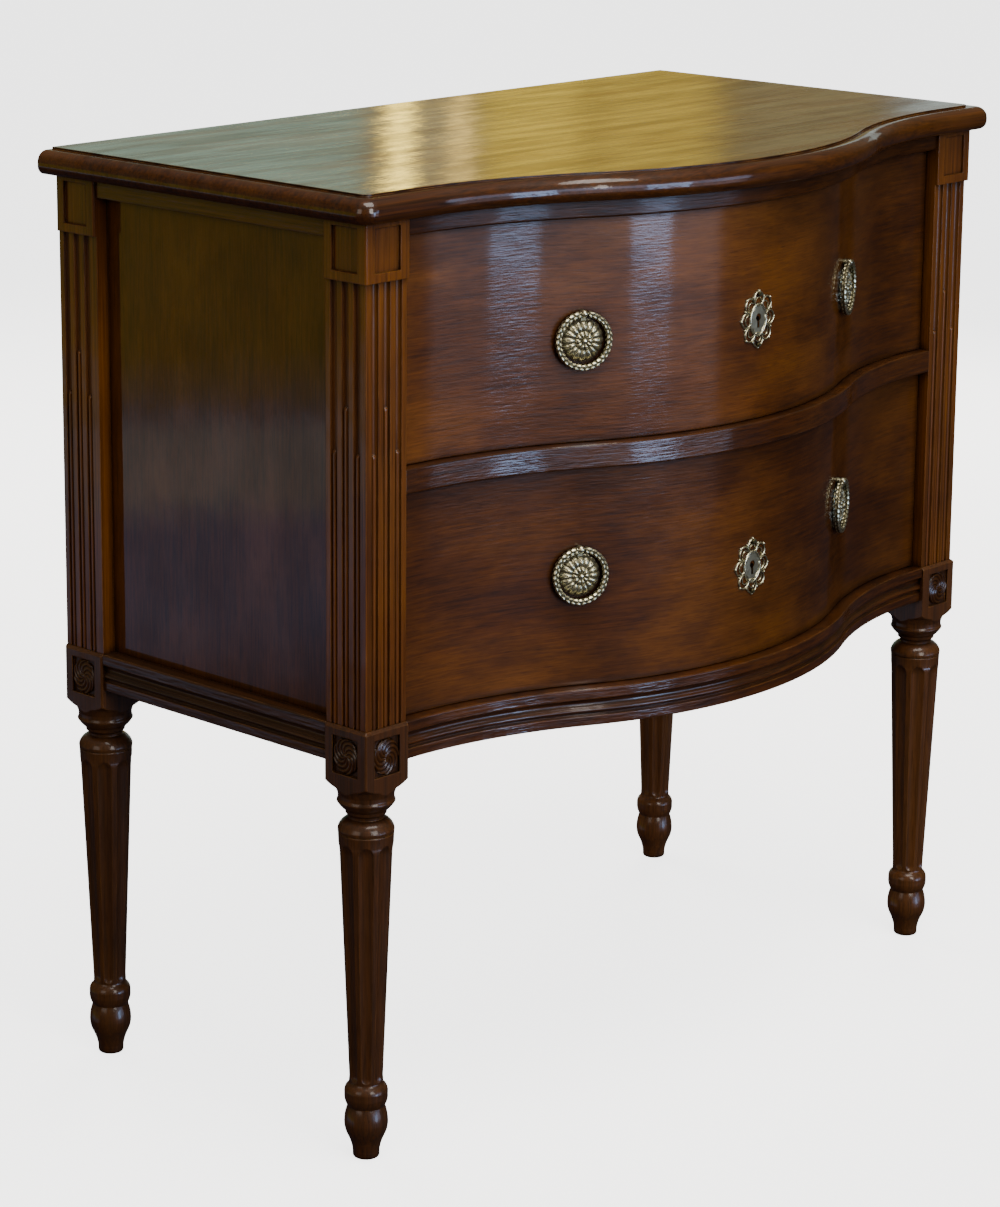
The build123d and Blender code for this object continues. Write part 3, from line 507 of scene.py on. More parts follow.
def old_brass(name, seed):
    """Cast brass, rubbed pale on top and tarnished in the hollows."""
    brass = bpy.context.scene.chest_brass
    material, tree, shader = new_material(name)
    plain = place_pattern(tree, offset=(seed, seed * 0.7, seed * 1.9))
    grit = cloudy(tree, plain, 900.0, 2.0, 0.6)
    cloud = cloudy(tree, plain, 150.0, 3.0, 0.6)
    bright_part = product(
        tree, remap(tree, openness(tree, 0.0035), 0.35, 0.95),
        remap(tree, own_mark(tree, "crest"), 0.05, 0.65), remap(tree, cloud, 0.30, 0.60, 0.60, 1.0)
    )
    plug_all(tree, shader, {
        "Base Color": blend_colour(tree, bright_part, brass.dull, brass.bright),
        "Metallic": 0.95,
        "Roughness": remap(tree, bright_part, 0.0, 1.0, 0.52, 0.24),
        "Normal": bumped(tree, grit, 0.22, 0.00012, bumped(tree, cloud, 0.30, 0.0006)),
    })
    return material


def dark_iron(name):
    """Oiled iron of the locks and studs."""
    material, tree, shader = new_material(name)
    cloud = cloudy(tree, place_pattern(tree), 140.0, 4.0, 0.65)
    rusty_part = remap(tree, cloud, 0.35, 0.65)
    plug_all(tree, shader, {
        "Base Color": blend_colour(tree, rusty_part, (0.05, 0.045, 0.042), (0.16, 0.13, 0.11)),
        "Metallic": 0.85,
        "Roughness": remap(tree, cloud, 0.3, 0.7, 0.38, 0.62),
        "Normal": bumped(tree, cloud, 0.3, 0.0004),
    })
    return material


def dress(node, material):
    """Give a node of the frame its finish."""
    materials = NODES[node].data.materials
    materials.clear()
    materials.append(material)


# Mesh helpers


def new_object(name, data):
    """A new object of the scene."""
    thing = bpy.data.objects.new(name, data)
    bpy.context.scene.collection.objects.link(thing)
    return thing


def crest_of(shape):
    """The layer that says how high and rubbed each point of a piece is."""
    layer = shape.verts.layers.float.get("crest")
    return layer or shape.verts.layers.float.new("crest")


def mark(shape, verts, level):
    """Say how rubbed some points are."""
    crest = crest_of(shape)
    for vert in verts:
        vert[crest] = level


def lathe(shape, points, steps):
    """Spin a profile of (radius, height) once round Z."""
    verts = [shape.verts.new((radius, 0.0, height)) for radius, height in points]
    edges = [shape.edges.new(pair) for pair in zip(verts, verts[1:])]
    spin_round(shape, verts + edges, steps)


def spin_round(shape, geometry, steps):
    """Spin a line of edges once round Z."""
    bmesh.ops.spin(
        shape, geom=geometry, cent=(0, 0, 0), axis=(0, 0, 1),
        angle=math.tau, steps=steps, use_merge=True,
    )
    bmesh.ops.remove_doubles(shape, verts=shape.verts, dist=1e-7)


def finished(name, shape, material, body, smooth=38.0):
    """Turn a bmesh into a piece that rides on its body, smooth over edges below an angle."""
    bmesh.ops.remove_doubles(shape, verts=shape.verts, dist=1e-6)
    bmesh.ops.recalc_face_normals(shape, faces=shape.faces)
    mesh = bpy.data.meshes.new(name)
    shape.to_mesh(mesh)
    shape.free()
    mesh.materials.append(material)
    piece = new_object(name, mesh)
    mesh.shade_smooth()
    mesh.set_sharp_from_angle(angle=math.radians(smooth))
    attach(piece, body)
    return piece


# Pieces


# Painted shade on each leg, as a share taken off its colour; below 0 it is painted light, on the leg
# that the lamps leave dim
LEG_LIGHT_AND_SHADE = {"front_left": 0.24, "front_right": 0.08, "rear_left": 0.36, "rear_right": -0.25}

# Front rails: level, share taken off the colour, and strength of the coat; the top rail's large share,
# with its weak coat, is painted shadow under the top's nose
FRONT_RAILS = (("top", 0.45, 0.35), ("mid", 0.35, 1.0), ("base", 0.25, 1.0))


class CHEST_OT_polish_carcass(bpy.types.Operator):
    """Polish the show wood of the carcass and the drawer fronts"""

    bl_idname = "chest.polish_carcass"
    bl_label = "Polish the show wood"

    def execute(self, context):
        for index, place in enumerate(PLACES):
            post = Polish("Z", 1.3 + index, darker=-0.15, warmth=0.80)
            dress("post_" + place, polished_wood("post wood " + place, post))
            # Each leg's colour carries its own painted light or shade
            leg = Polish(
                "Z", 4.1 + index, darker=LEG_LIGHT_AND_SHADE[place], warmth=0.45, faded=0.26, calm=0.6,
                gloss=0.55, coat_rough=0.15
            )
            dress("leg_" + place, polished_wood("leg wood " + place, leg))
        for index, side in enumerate(SIDES):
            panel = Polish(
                "panel", 7.7 + index, darker=0.16, warmth=0.40, smoky=0.14, calm=0.9,
                coat_rough=0.02, ripple=0.12, comb=0.06
            )
            dress("side_panel_" + side, polished_wood("side panel wood " + side, panel))
            for level, seed, darker, faded in (("top", 8.3, 0.30, 0.0), ("base", 9.9, 0.40, 0.26)):
                rail = Polish("Y", seed + index, darker=darker, warmth=0.30, faded=faded)
                dress(f"side_rail_{level}_{side}", polished_wood(f"side {level} rail {side}", rail))
        top = Polish(
            "X", 11.2, darker=0.40, warmth=0.45, calm=0.35, gloss=1.0, dull_grain=0.40,
            coat_rough=0.04, ripple=0.6, comb=0.30
        )
        dress("top_panel", polished_wood("top wood", top))
        # Painted light and shade: the upper drawer front is made lighter and the lower one darker, as
        # light falls off downward
        upper = Polish(
            "bow", 12.6, darker=-0.12, warmth=0.68, figured=0.72, smoky=0.20, dusk=0.32, calm=0.60,
            coat_rough=0.09, ripple=0.5, comb=0.5
        )
        dress("drawer_front_upper", polished_wood("upper drawer wood", upper))
        lower = upper._replace(
            seed=14.8, darker=0.06, warmth=0.66, figured=0.70, smoky=0.22, dusk=0.25
        )
        dress("drawer_front_lower", polished_wood("lower drawer wood", lower))
        for index, (level, darker, gloss) in enumerate(FRONT_RAILS):
            rail = Polish(
                "bow", 15.4 + index, darker=darker, warmth=0.4, gloss=gloss, ripple=1.2, comb=2.0,
                lean=1.2
            )
            dress("front_rail_" + level, polished_wood("front rail " + level, rail))
        return {"FINISHED"}


class CHEST_OT_age_inner_wood(bpy.types.Operator):
    """Give the back, runners, boards and drawer insides their plain wood"""

    bl_idname = "chest.age_inner_wood"
    bl_label = "Age the inner wood"

    def execute(self, context):
        groups = {
            "X": ["back_rail_top", "back_rail_base", "dust_board", "bottom_board", "drawer_stops",
                  "glue_blocks", "drawer_back_upper", "drawer_back_lower",
                  "drawer_bottom_upper", "drawer_bottom_lower"],
            "Y": [f"runner_{level}_{side}" for level in LEVELS for side in SIDES]
            + ["kicker_" + side for side in SIDES]
            + [f"drawer_side_{side}_{level}" for level in LEVELS for side in SIDES],
            "Z": ["back_panel"],
        }
        for grain, names in groups.items():
            for index, name in enumerate(names):
                dress(name, plain_wood("plain " + name, grain, 1.7 * index + 1.0))
        return {"FINISHED"}


class CHEST_OT_fit_locks(bpy.types.Operator):
    """Give the locks, bolts and studs their dark iron"""

    bl_idname = "chest.fit_locks"
    bl_label = "Fit the iron locks"

    def execute(self, context):
        iron = dark_iron("oiled iron")
        for level in LEVELS:
            for name in ("lock_case_", "lock_bolt_", "handle_bolts_"):
                dress(name + level, iron)
        return {"FINISHED"}


class CHEST_OT_cast_handles(bpy.types.Operator):
    """Cast the petalled bosses and the wreath rings of the four handles"""

    bl_idname = "chest.cast_handles"
    bl_label = "Cast the ring handles"

    def execute(self, context):
        metal = old_brass("handle brass", 0.37)
        for ring_body, drawer_body, seat in handle_seats():
            name = ring_body.replace("ring_", "")
            ring = finished("wreath_ring_" + name, wreath_ring(seat), metal, ring_body)
            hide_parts("handle_" + ring_body)
            boss = finished("petal_boss_" + name, petal_boss(seat), metal, drawer_body)
            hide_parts("handle_rosette_" + name)
        return {"FINISHED"}


def handle_seats():
    """Each ring's body, its drawer's body, and the matrix of the ring's middle."""
    brass = bpy.context.scene.chest_brass
    seats = []
    for joint in frame["joints"]:
        if not joint["name"].startswith("ring_swing"):
            continue
        across = -Vector(joint["axis"]).normalized()
        up = Vector((0, 0, 1))
        matrix = Matrix((across, up, across.cross(up))).transposed().to_4x4()
        matrix.translation = Vector(joint["pos_m"]) - up * brass.ring_radius
        seats.append((joint["child"], joint["parent"], matrix))
    return seats


WREATH_LEAVES = 15  # from the top of the ring down each side
WREATH_ROWS = 4  # of leaves round the section
STEM_SHARE = 0.62  # of the section's radius, between the leaves


def wreath_ring(seat):
    """A ring of overlapping laurel leaves with its hinge pins."""
    brass = bpy.context.scene.chest_brass
    shape = bmesh.new()
    bmesh.ops.create_circle(shape, cap_ends=False, radius=brass.ring_section, segments=24)
    stand_up = Matrix.Rotation(math.radians(90), 4, "X")
    bmesh.ops.transform(shape, matrix=stand_up, verts=shape.verts)
    bmesh.ops.translate(shape, vec=(brass.ring_radius, 0, 0), verts=shape.verts)
    spin_round(shape, shape.verts[:] + shape.edges[:], 288)
    crest = crest_of(shape)
    for vert in shape.verts:
        turn = math.atan2(vert.co.y, vert.co.x)
        middle = Vector((math.cos(turn), math.sin(turn), 0)) * brass.ring_radius
        arm = vert.co - middle
        lean = math.atan2(arm.z, arm.dot(middle.normalized()))
        from_top = abs(((turn - math.pi / 2 + math.pi) % math.tau) - math.pi) / math.pi
        lift = leaf_lift(from_top, lean / math.tau * WREATH_ROWS)
        vert[crest] = lift
        vert.co = middle + arm * (STEM_SHARE + (1 - STEM_SHARE) * lift)
    return place_ring(shape, seat, brass)


def leaf_lift(from_top, row):
    """How far the leaves stand up at a share of the way down the ring and a row round it."""
    stagger = 0.5 * (math.floor(row) % 2)
    along = (WREATH_LEAVES * from_top + stagger) % 1.0
    across = abs((row % 1.0) - 0.5) * 2
    half_width = max(0.25, math.sin(math.pi * min(0.95, along * 0.85 + 0.12)))
    blade = 1 - (across / half_width) ** 2
    lift = max(0.0, blade) * (0.35 + 0.65 * along) if along < 0.9 else 0.1
    vein = 0.12 if across < 0.12 else 0.0
    return max(0.0, min(1.0, lift - vein))


def place_ring(shape, seat, brass):
    """Open the ring at its top, add the pins and set it in its seat."""
    doomed = [
        face for face in shape.faces
        if face.calc_center_median().y > 0 and abs(face.calc_center_median().x) < RING_GAP
    ]
    bmesh.ops.delete(shape, geom=doomed, context="FACES")
    bmesh.ops.holes_fill(shape, edges=[edge for edge in shape.edges if edge.is_boundary])
    for way in (-1, 1):
        pin = bmesh.ops.create_cone(
            shape, cap_ends=True, segments=16, radius1=PIN_RADIUS, radius2=PIN_RADIUS,
            depth=PIN_LENGTH
        )["verts"]
        matrix = Matrix.Translation((way * PIN_PLACE, brass.ring_radius, 0))
        matrix = matrix @ Matrix.Rotation(math.radians(90), 4, "Y")
        bmesh.ops.transform(shape, matrix=matrix, verts=pin)
        mark(shape, pin, 0.8)
    bmesh.ops.transform(shape, matrix=seat, verts=shape.verts)
    return shape


INNER_PETALS = 10
OUTER_PETALS = 16

# Shares of the boss's radius where its button, its groove and its inner petals end
BUTTON_END = 0.12
GROOVE_END = 0.17
INNER_END = 0.42


def outer_ridge(turn):
    """1 along the middle of each outer petal and 0 between two."""
    return abs(math.cos(OUTER_PETALS / 2 * turn + 0.3))


def petal_level(share, turn):
    """Height and rub of the boss at a radius and a turn, as shares."""
    if share < BUTTON_END:
        return 1.0 - (share / BUTTON_END) ** 2 * 0.10, 1.0
    if share < GROOVE_END:
        return 0.74, 0.0
    if share < INNER_END:
        run = (share - GROOVE_END) / (INNER_END - GROOVE_END)
        ridge = abs(math.cos(INNER_PETALS / 2 * turn)) ** 0.7
        level = 0.76 + 0.10 * math.sin(math.pi * min(1.0, run * 1.1)) - 0.05 * run
        return level - 0.13 * (1 - ridge), ridge * (1 - 0.5 * run)
    run = (share - INNER_END) / (1 - INNER_END)
    ridge = outer_ridge(turn)
    blade = ridge ** 0.55
    level = 0.60 + 0.12 * math.sin(math.pi * run ** 0.8) - 0.46 * run ** 2.4
    level -= 0.22 * (1 - blade) * (0.5 + 0.5 * run)
    fold = 0.05 if ridge > 0.985 else 0.0
    return level - fold, max(0.0, blade * (0.55 + 0.45 * run) - 3.2 * fold)


def petal_boss(seat):
    """A domed boss of two rings of petals round a button, with the ring's eye."""
    brass = bpy.context.scene.chest_brass
    radius, height = brass.rosette_radius, brass.rosette_height
    shape = bmesh.new()
    outline = [(share, 1.0) for share in (0.0, 0.06, 0.09, 0.115, 0.13, 0.165)]
    outline += [(share / 100, 0.0) for share in range(19, 101, 3)]
    outline += [(1.0, -0.1), (0.96, -0.12)]
    lathe(shape, [(share * radius, level * height) for share, level in outline], 256)
    crest = crest_of(shape)
    for vert in shape.verts:
        share = math.hypot(vert.co.x, vert.co.y) / radius
        turn = math.atan2(vert.co.y, vert.co.x)
        if vert.co.z < -0.01 * height:
            continue
        level, vert[crest] = petal_level(min(share, 1.0), turn)
        if share > 0.8:
            pinch = 1 - 0.06 * (1 - outer_ridge(turn) ** 0.5) * (share - 0.8) / 0.2
            vert.co.x *= pinch
            vert.co.y *= pinch
        vert.co.z = max(level, 0.05) * height
    floor = -RING_STAND_OFF
    bmesh.ops.translate(shape, vec=(0, 0, floor + 0.1 * MM), verts=shape.verts)
    eye = bmesh.ops.create_uvsphere(shape, u_segments=24, v_segments=14, radius=EYE_RADIUS)["verts"]
    bmesh.ops.translate(shape, vec=(0, brass.ring_radius, 0), verts=eye)
    stem = bmesh.ops.create_cone(
        shape, cap_ends=True, segments=20, radius1=STEM_RADII[0], radius2=STEM_RADII[1],
        depth=RING_STAND_OFF
    )["verts"]
    bmesh.ops.translate(shape, vec=(0, brass.ring_radius, floor / 2), verts=stem)
    bridge = bmesh.ops.create_cube(shape, size=1.0)["verts"]
    bmesh.ops.scale(shape, vec=BRIDGE_SIZE, verts=bridge)
    bmesh.ops.translate(
        shape, vec=(0, brass.ring_radius - 3.2 * MM, floor + 1.6 * MM), verts=bridge
    )
    mark(shape, eye, 0.9)
    mark(shape, stem + bridge, 0.3)
    bmesh.ops.transform(shape, matrix=seat, verts=shape.verts)
    return shape


class CHEST_OT_pierce_escutcheons(bpy.types.Operator):
    """Cast the pierced keyhole plates with their beads and scrolls"""

    bl_idname = "chest.pierce_escutcheons"
    bl_label = "Pierce the keyhole plates"

    def execute(self, context):
        metal = old_brass("escutcheon brass", 1.93)
        for level in LEVELS:
            low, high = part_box("escutcheon_" + level)
            middle_z = (low.z + high.z) / 2
            shape = pierced_plate((high.x - low.x) / 2, (high.z - low.z) / 2)
            for vert in shape.verts:
                x, up, out = vert.co
                fall = x * x / (2 * BOW_RADIUS)
                vert.co = (x, low.y + 2.0 * MM - out + fall, middle_z + up)
            piece = finished("keyhole_plate_" + level, shape, metal, "drawer_" + level)
            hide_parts("escutcheon_" + level)
            dress("escutcheon_pins_" + level, metal)
        return {"FINISHED"}


def bar(shape, points, width, height, closed=False, segments=8):
    """A half-round strap along flat points, made by bridging copies of its section."""
    count = len(points)
    rings = []
    for index, point in enumerate(points):
        if closed:
            before, after = points[index - 1], points[(index + 1) % count]
        else:
            before, after = points[max(index - 1, 0)], points[min(index + 1, count - 1)]
        along = Vector((after[0] - before[0], after[1] - before[1], 0)).normalized()
        side = Vector((along.y, -along.x, 0))
        base = Vector((point[0], point[1], 0))
        ring = []
        for step in range(segments + 1):
            angle = math.pi * step / segments
            ring.append(shape.verts.new(
                base + side * (math.cos(angle) * width / 2) + Vector((0, 0, math.sin(angle) * height))
            ))
        for first, second in zip(ring, ring[1:] + ring[:1]):
            shape.edges.new((first, second))
        rings.append(ring)
    pairs = list(zip(rings, rings[1:])) + ([(rings[-1], rings[0])] if closed else [])
    for pair in pairs:
        edges = []
        for ring in pair:
            for one, two in zip(ring, ring[1:] + ring[:1]):
                edges.append(next(edge for edge in one.link_edges if edge.other_vert(one) == two))
        bmesh.ops.bridge_loops(shape, edges=edges)
    if not closed:
        for ring in (rings[0], rings[-1]):
            shape.faces.new(ring)


def bead(shape, place, radius, height):
    """A cast bead on the plate."""
    ball = bmesh.ops.create_uvsphere(shape, u_segments=14, v_segments=10, radius=radius)["verts"]
    bmesh.ops.scale(shape, vec=(1, 1, height / radius), verts=ball)
    bmesh.ops.translate(shape, vec=(*place, 0.35 * MM), verts=ball)
    mark(shape, ball, 1.0)


def oval(centre, reach, steps, pinch=0.0):
    """Points round an oval, drawn in at its foot by a share."""
    points = []
    for step in range(steps):
        angle = math.tau * step / steps
        draw = 1.0 - pinch * max(0.0, -math.cos(angle)) ** 2
        points.append((
            centre[0] + reach[0] * draw * math.sin(angle), centre[1] + reach[1] * math.cos(angle)
        ))
    return points


def keyhole_outline():
    """A round hole over a slot, as the plate is cut."""
    hole, slot, drop = 3.5 * MM, 1.5 * MM, 9.2 * MM
    open_angle = math.asin(slot / hole)
    points = []
    for step in range(33):
        angle = math.pi - open_angle - (math.tau - 2 * open_angle) * step / 32
        points.append((hole * math.sin(angle), hole * math.cos(angle)))
    points += [(-slot, -drop * share) for share in (0.5, 0.75, 1.0)]
    points += [(slot, -drop * share) for share in (1.0, 0.75, 0.5)]
    return points


def ring_of_edges(shape, points, height):
    """A closed line of edges through flat points."""
    verts = [shape.verts.new((x, y, height)) for x, y in points]
    return [shape.edges.new((verts[index - 1], verts[index])) for index in range(len(verts))]


PLATE_LOOPS = 8
PLATE_MIDDLE = (0, -0.6 * MM)
KEYHOLE_RISE = 1.6 * MM  # of the round hole's middle
FOOT_PINCH = 0.12  # share by which the oval is drawn in at its foot


def pierced_plate(half_x, half_z):
    """Loops, scrolls and beads round an oval with its keyhole."""
    shape = bmesh.new()
    crest = crest_of(shape)

    def spot(across, up, angle):
        """A point at shares of the half width and the half height."""
        return half_x * across * math.sin(angle), half_z * up * math.cos(angle)

    for index in range(PLATE_LOOPS):
        angle = math.tau * index / PLATE_LOOPS
        between = angle + math.pi / PLATE_LOOPS
        loop = oval(spot(0.665, 0.685, angle), (6.1 * MM, 6.3 * MM), 28)
        bar(shape, loop, 1.7 * MM, 1.45 * MM, closed=True, segments=6)
        bead(shape, spot(0.945, 0.95, angle), 1.35 * MM, 1.6 * MM)
        bead(shape, spot(0.80, 0.81, between), 1.15 * MM, 1.5 * MM)
        curl = []
        for step in range(12):
            run = step / 11
            reach = 0.60 + 0.13 * math.sin(math.pi * run)
            curl.append(spot(reach, reach + 0.02, angle + (0.30 - 0.62 * run)))
        bar(shape, curl, 1.1 * MM, 1.15 * MM, segments=5)
    rim = oval(PLATE_MIDDLE, (half_x * 0.46, half_z * 0.53), 56, FOOT_PINCH)
    bar(shape, rim, 2.2 * MM, 1.75 * MM, closed=True)
    for vert in shape.verts:
        if vert[crest] == 0.0:
            vert[crest] = min(1.0, vert.co.z / (1.5 * MM))
    edge = oval(PLATE_MIDDLE, (half_x * 0.44, half_z * 0.51), 56, FOOT_PINCH)
    outer = ring_of_edges(shape, edge, 0.8 * MM)
    inner = ring_of_edges(shape, [(x, y + KEYHOLE_RISE) for x, y in keyhole_outline()], 0.95 * MM)
    mark(shape, {vert for edge in outer + inner for vert in edge.verts}, 0.55)
    bmesh.ops.bridge_loops(shape, edges=outer + inner)
    walls = bmesh.ops.extrude_edge_only(shape, edges=inner)["geom"]
    walls = [item for item in walls if isinstance(item, bmesh.types.BMVert)]
    bmesh.ops.translate(shape, vec=(0, 0, -0.9 * MM), verts=walls)
    mark(shape, walls, 0.0)
    return shape


class CHEST_OT_carve_whorls(bpy.types.Operator):
    """Carve the spiral petals in the sunk panels of the corner blocks"""

    bl_idname = "chest.carve_whorls"
    bl_label = "Carve the corner whorls"

    def execute(self, context):
        for index, place in enumerate(PLACES):
            low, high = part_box("leg_" + place)
            middle = (low + high) / 2
            outward = -1 if place.endswith("left") else 1
            side_x = low.x if outward < 0 else high.x
            look = Polish("Z", 5.5 + index, darker=0.62, warmth=0.20, calm=0.8, carved=True)
            material = polished_wood("whorl wood " + place, look)
            faces = [("side", Vector((side_x, middle.y, WHORL_HEIGHT)), Vector((outward, 0, 0)))]
            if place.startswith("front"):
                faces.append(("front", Vector((middle.x, low.y, WHORL_HEIGHT)), Vector((0, -1, 0))))
            for face, spot, out in faces:
                seat = Matrix((out.cross(Vector((0, 0, -1))), Vector((0, 0, 1)), out))
                seat = seat.transposed().to_4x4()
                seat.translation = spot - out * PANEL_SINK
                finished(
                    "whorl_" + place + "_" + face, carved_whorl(seat, -outward), material,
                    "carcass", 60.0
                )
        return {"FINISHED"}


WHORL_PETALS = 9
WHORL_BUTTON = 0.15  # share of the whorl's radius


def carved_whorl(seat, way):
    """A domed disc whose long petals curl out from a button."""
    shape = bmesh.new()
    rings = 32
    outline = [(WHORL_REACH * step / rings, 0.0) for step in range(rings + 1)]
    lathe(shape, outline, 200)
    crest = crest_of(shape)
    for vert in shape.verts:
        share = math.hypot(vert.co.x, vert.co.y) / WHORL_REACH
        turn = math.atan2(vert.co.y, vert.co.x) * way
        level, vert[crest] = whorl_level(share, turn)
        vert.co.y *= WHORL_STRETCH
        vert.co.z = min(level, 2.5) * MM
    bmesh.ops.transform(shape, matrix=seat, verts=shape.verts)
    return shape


def whorl_level(share, turn):
    """Height in millimetres and rub of a whorl at a radius and a turn."""
    if share < WHORL_BUTTON:
        return 1.90 + 0.50 * math.sqrt(max(0.0, 1 - (share / WHORL_BUTTON) ** 2)), 0.8
    run = (share - WHORL_BUTTON) / (1 - WHORL_BUTTON)
    flow = (WHORL_PETALS * (turn / math.tau + 0.12 * run + 0.16 * run ** 2)) % 1.0
    blade = math.sin(math.pi * flow ** 0.6)
    level = 1.60 - 0.70 * run + blade * (0.65 + 0.65 * run)
    tip = 0.93 + 0.07 * blade
    level *= 1.0 if run < tip - 0.05 else max(0.0, 1 - ((run - tip + 0.05) / 0.06) ** 2)
    return level, blade ** 2


# Studio


class CHEST_OT_set_studio(bpy.types.Operator):
    """Lay the pale floor, hang the soft lights and set the camera"""

    bl_idname = "chest.set_studio"
    bl_label = "Set the studio"

    def execute(self, context):
        lay_floor()
        light_world()
        hang_lights()
        set_camera()
        return {"FINISHED"}


def lay_floor():
    """A wide pale floor."""
    studio = bpy.context.scene.chest_studio
    shape = bmesh.new()
    bmesh.ops.create_grid(shape, x_segments=1, y_segments=1, size=14.0)
    mesh = bpy.data.meshes.new("studio floor")
    shape.to_mesh(mesh)
    shape.free()
    floor = new_object("studio floor", mesh)
    material, tree, shader = new_material("floor paper")
    plug_all(tree, shader, {
        "Base Color": (*studio.paper, 1), "Roughness": 0.9,
        "Emission Color": (*studio.paper, 1), "Emission Strength": studio.glow,
    })
    mesh.materials.append(material)
    floor.visible_glossy = False
    floor.visible_diffuse = False


# Colours of the room by height, from straight down at 0 to straight up at 1
ROOM_STOPS = (
    (0.00, (0.030, 0.028, 0.035)),
    (0.40, (0.030, 0.026, 0.035)),
    (0.50, (0.045, 0.035, 0.022)),
    (0.66, (0.11, 0.09, 0.06)),
    (1.00, (0.26, 0.25, 0.24)),
)

# What the polish reflects: name, bearing from +Y toward +X and half-width, lowest and
# highest elevation, blur (all in degrees) and the light's colour
ROOM_PARTS = (
    ("pale wall behind", 33.2, 11.7, -4.0, 14.0, 0.5, (0.41, 0.60, 0.47)),
    ("dim wall behind", 45.8, 0.95, -4.0, 14.0, 0.35, (0.66, 0.55, 0.28)),
    ("bright wall behind", 47.5, 0.90, -4.0, 14.0, 0.5, (1.28, 0.92, 0.14)),
    ("gold wall behind", 49.5, 1.2, -4.0, 14.0, 0.6, (0.95, 0.68, 0.12)),
    ("brown wall behind", 51.9, 1.4, -4.0, 14.0, 0.7, (0.35, 0.31, 0.15)),
    ("grey wall behind", 64.0, 10.6, -4.0, 14.0, 0.6, (0.70, 0.84, 0.80)),
    ("bright lamp", 45.33, 0.14, -4.0, 12.0, 0.22, (5.8, 4.2, 0.85)),
    ("second lamp", 46.30, 0.08, -4.0, 12.0, 0.22, (2.2, 1.55, 0.45)),
    ("wall at the left", -46.0, 26.0, -6.0, 20.0, 1.5, (0.17, 0.125, 0.085)),
    ("olive wall at the left", -46.0, 26.0, -12.2, -5.0, 0.3, (0.50, 0.39, 0.05)),
    ("floor at the left", -46.0, 26.0, -16.5, -12.3, 1.2, (0.34, 0.46, 0.80)),
    ("haze at the left", -46.0, 26.0, -13.8, -12.3, 0.4, (0.76, 0.82, 0.84)),
    ("sky in front", 167.0, 24.0, -7.2, 9.0, 1.5, (1.7, 2.3, 3.6)),
    ("haze in front", 167.0, 22.0, -11.8, -7.5, 2.5, (1.15, 1.05, 1.25)),
    ("window in front", 168.0, 6.2, -9.2, 6.0, 0.9, (5.4, 8.2, 13.4)),
)


def room_part(tree, flat, height, below, part):
    """Lay one soft-edged wall or window over what the room shows so far."""
    _, bearing, half, low, high, blur, colour = part
    turn = math.radians(bearing)
    toward = (math.sin(turn), math.cos(turn), 0)
    sideways = (math.cos(turn), -math.sin(turn), 0)
    ahead, aside = (
        vector_maths(tree, "DOT_PRODUCT", flat, way, "Value") for way in (toward, sideways)
    )
    inner = math.sin(math.radians(max(half - blur, 0.0)))
    outer = math.sin(math.radians(half + blur))
    mask = remap(tree, maths(tree, "ABSOLUTE", aside), outer, inner, smooth=True)
    mask = product(tree, mask, maths(tree, "GREATER_THAN", ahead, 0.0))
    for edge, way in ((low, 1), (high, -1)):
        first, last = (math.sin(math.radians(edge + way * side * blur)) for side in (-1, 1))
        mask = product(tree, mask, remap(tree, height, first, last, smooth=True))
    return blend_colour(tree, mask, below, colour)


def room_colour(tree):
    """The dim room, with all its walls, lamps and windows."""
    coords = tree.nodes.new("ShaderNodeTexCoord")
    split = tree.nodes.new("ShaderNodeSeparateXYZ")
    tree.links.new(coords.outputs["Generated"], split.inputs[0])
    height = split.outputs["Z"]
    flat = vector_maths(tree, "MULTIPLY", coords.outputs["Generated"], (1, 1, 0))
    flat = vector_maths(tree, "NORMALIZE", flat)
    ramp_node = tree.nodes.new("ShaderNodeValToRGB")
    ramp = ramp_node.color_ramp
    ramp.interpolation = "EASE"
    for position, _ in ROOM_STOPS[2:]:
        ramp.elements.new(position)
    for element, (position, colour) in zip(ramp.elements, ROOM_STOPS):
        element.position = position
        element.color = (*colour, 1)
    tree.links.new(remap(tree, height, -1.0, 1.0), ramp_node.inputs["Fac"])
    colour = ramp_node.outputs["Color"]
    for part in ROOM_PARTS:
        colour = room_part(tree, flat, height, colour, part)
    return colour


def light_world():
    """Pale backdrop for the eye, and a dim room of walls and windows for the polish."""
    world = bpy.data.worlds.new("studio room")
    bpy.context.scene.world = world
    world.use_nodes = True
    tree = world.node_tree
    tree.nodes.clear()
    output = tree.nodes.new("ShaderNodeOutputWorld")
    backdrop = tree.nodes.new("ShaderNodeBackground")
    plug_all(tree, backdrop, {"Color": (1.0, 1.0, 1.0, 1), "Strength": 4.0})
    room = tree.nodes.new("ShaderNodeBackground")
    plug_all(tree, room, {"Color": room_colour(tree), "Strength": 1.0})
    path = tree.nodes.new("ShaderNodeLightPath")
    mix = tree.nodes.new("ShaderNodeMixShader")
    tree.links.new(path.outputs["Is Camera Ray"], mix.inputs["Fac"])
    tree.links.new(room.outputs[0], mix.inputs[1])
    tree.links.new(backdrop.outputs[0], mix.inputs[2])
    tree.links.new(mix.outputs[0], output.inputs["Surface"])


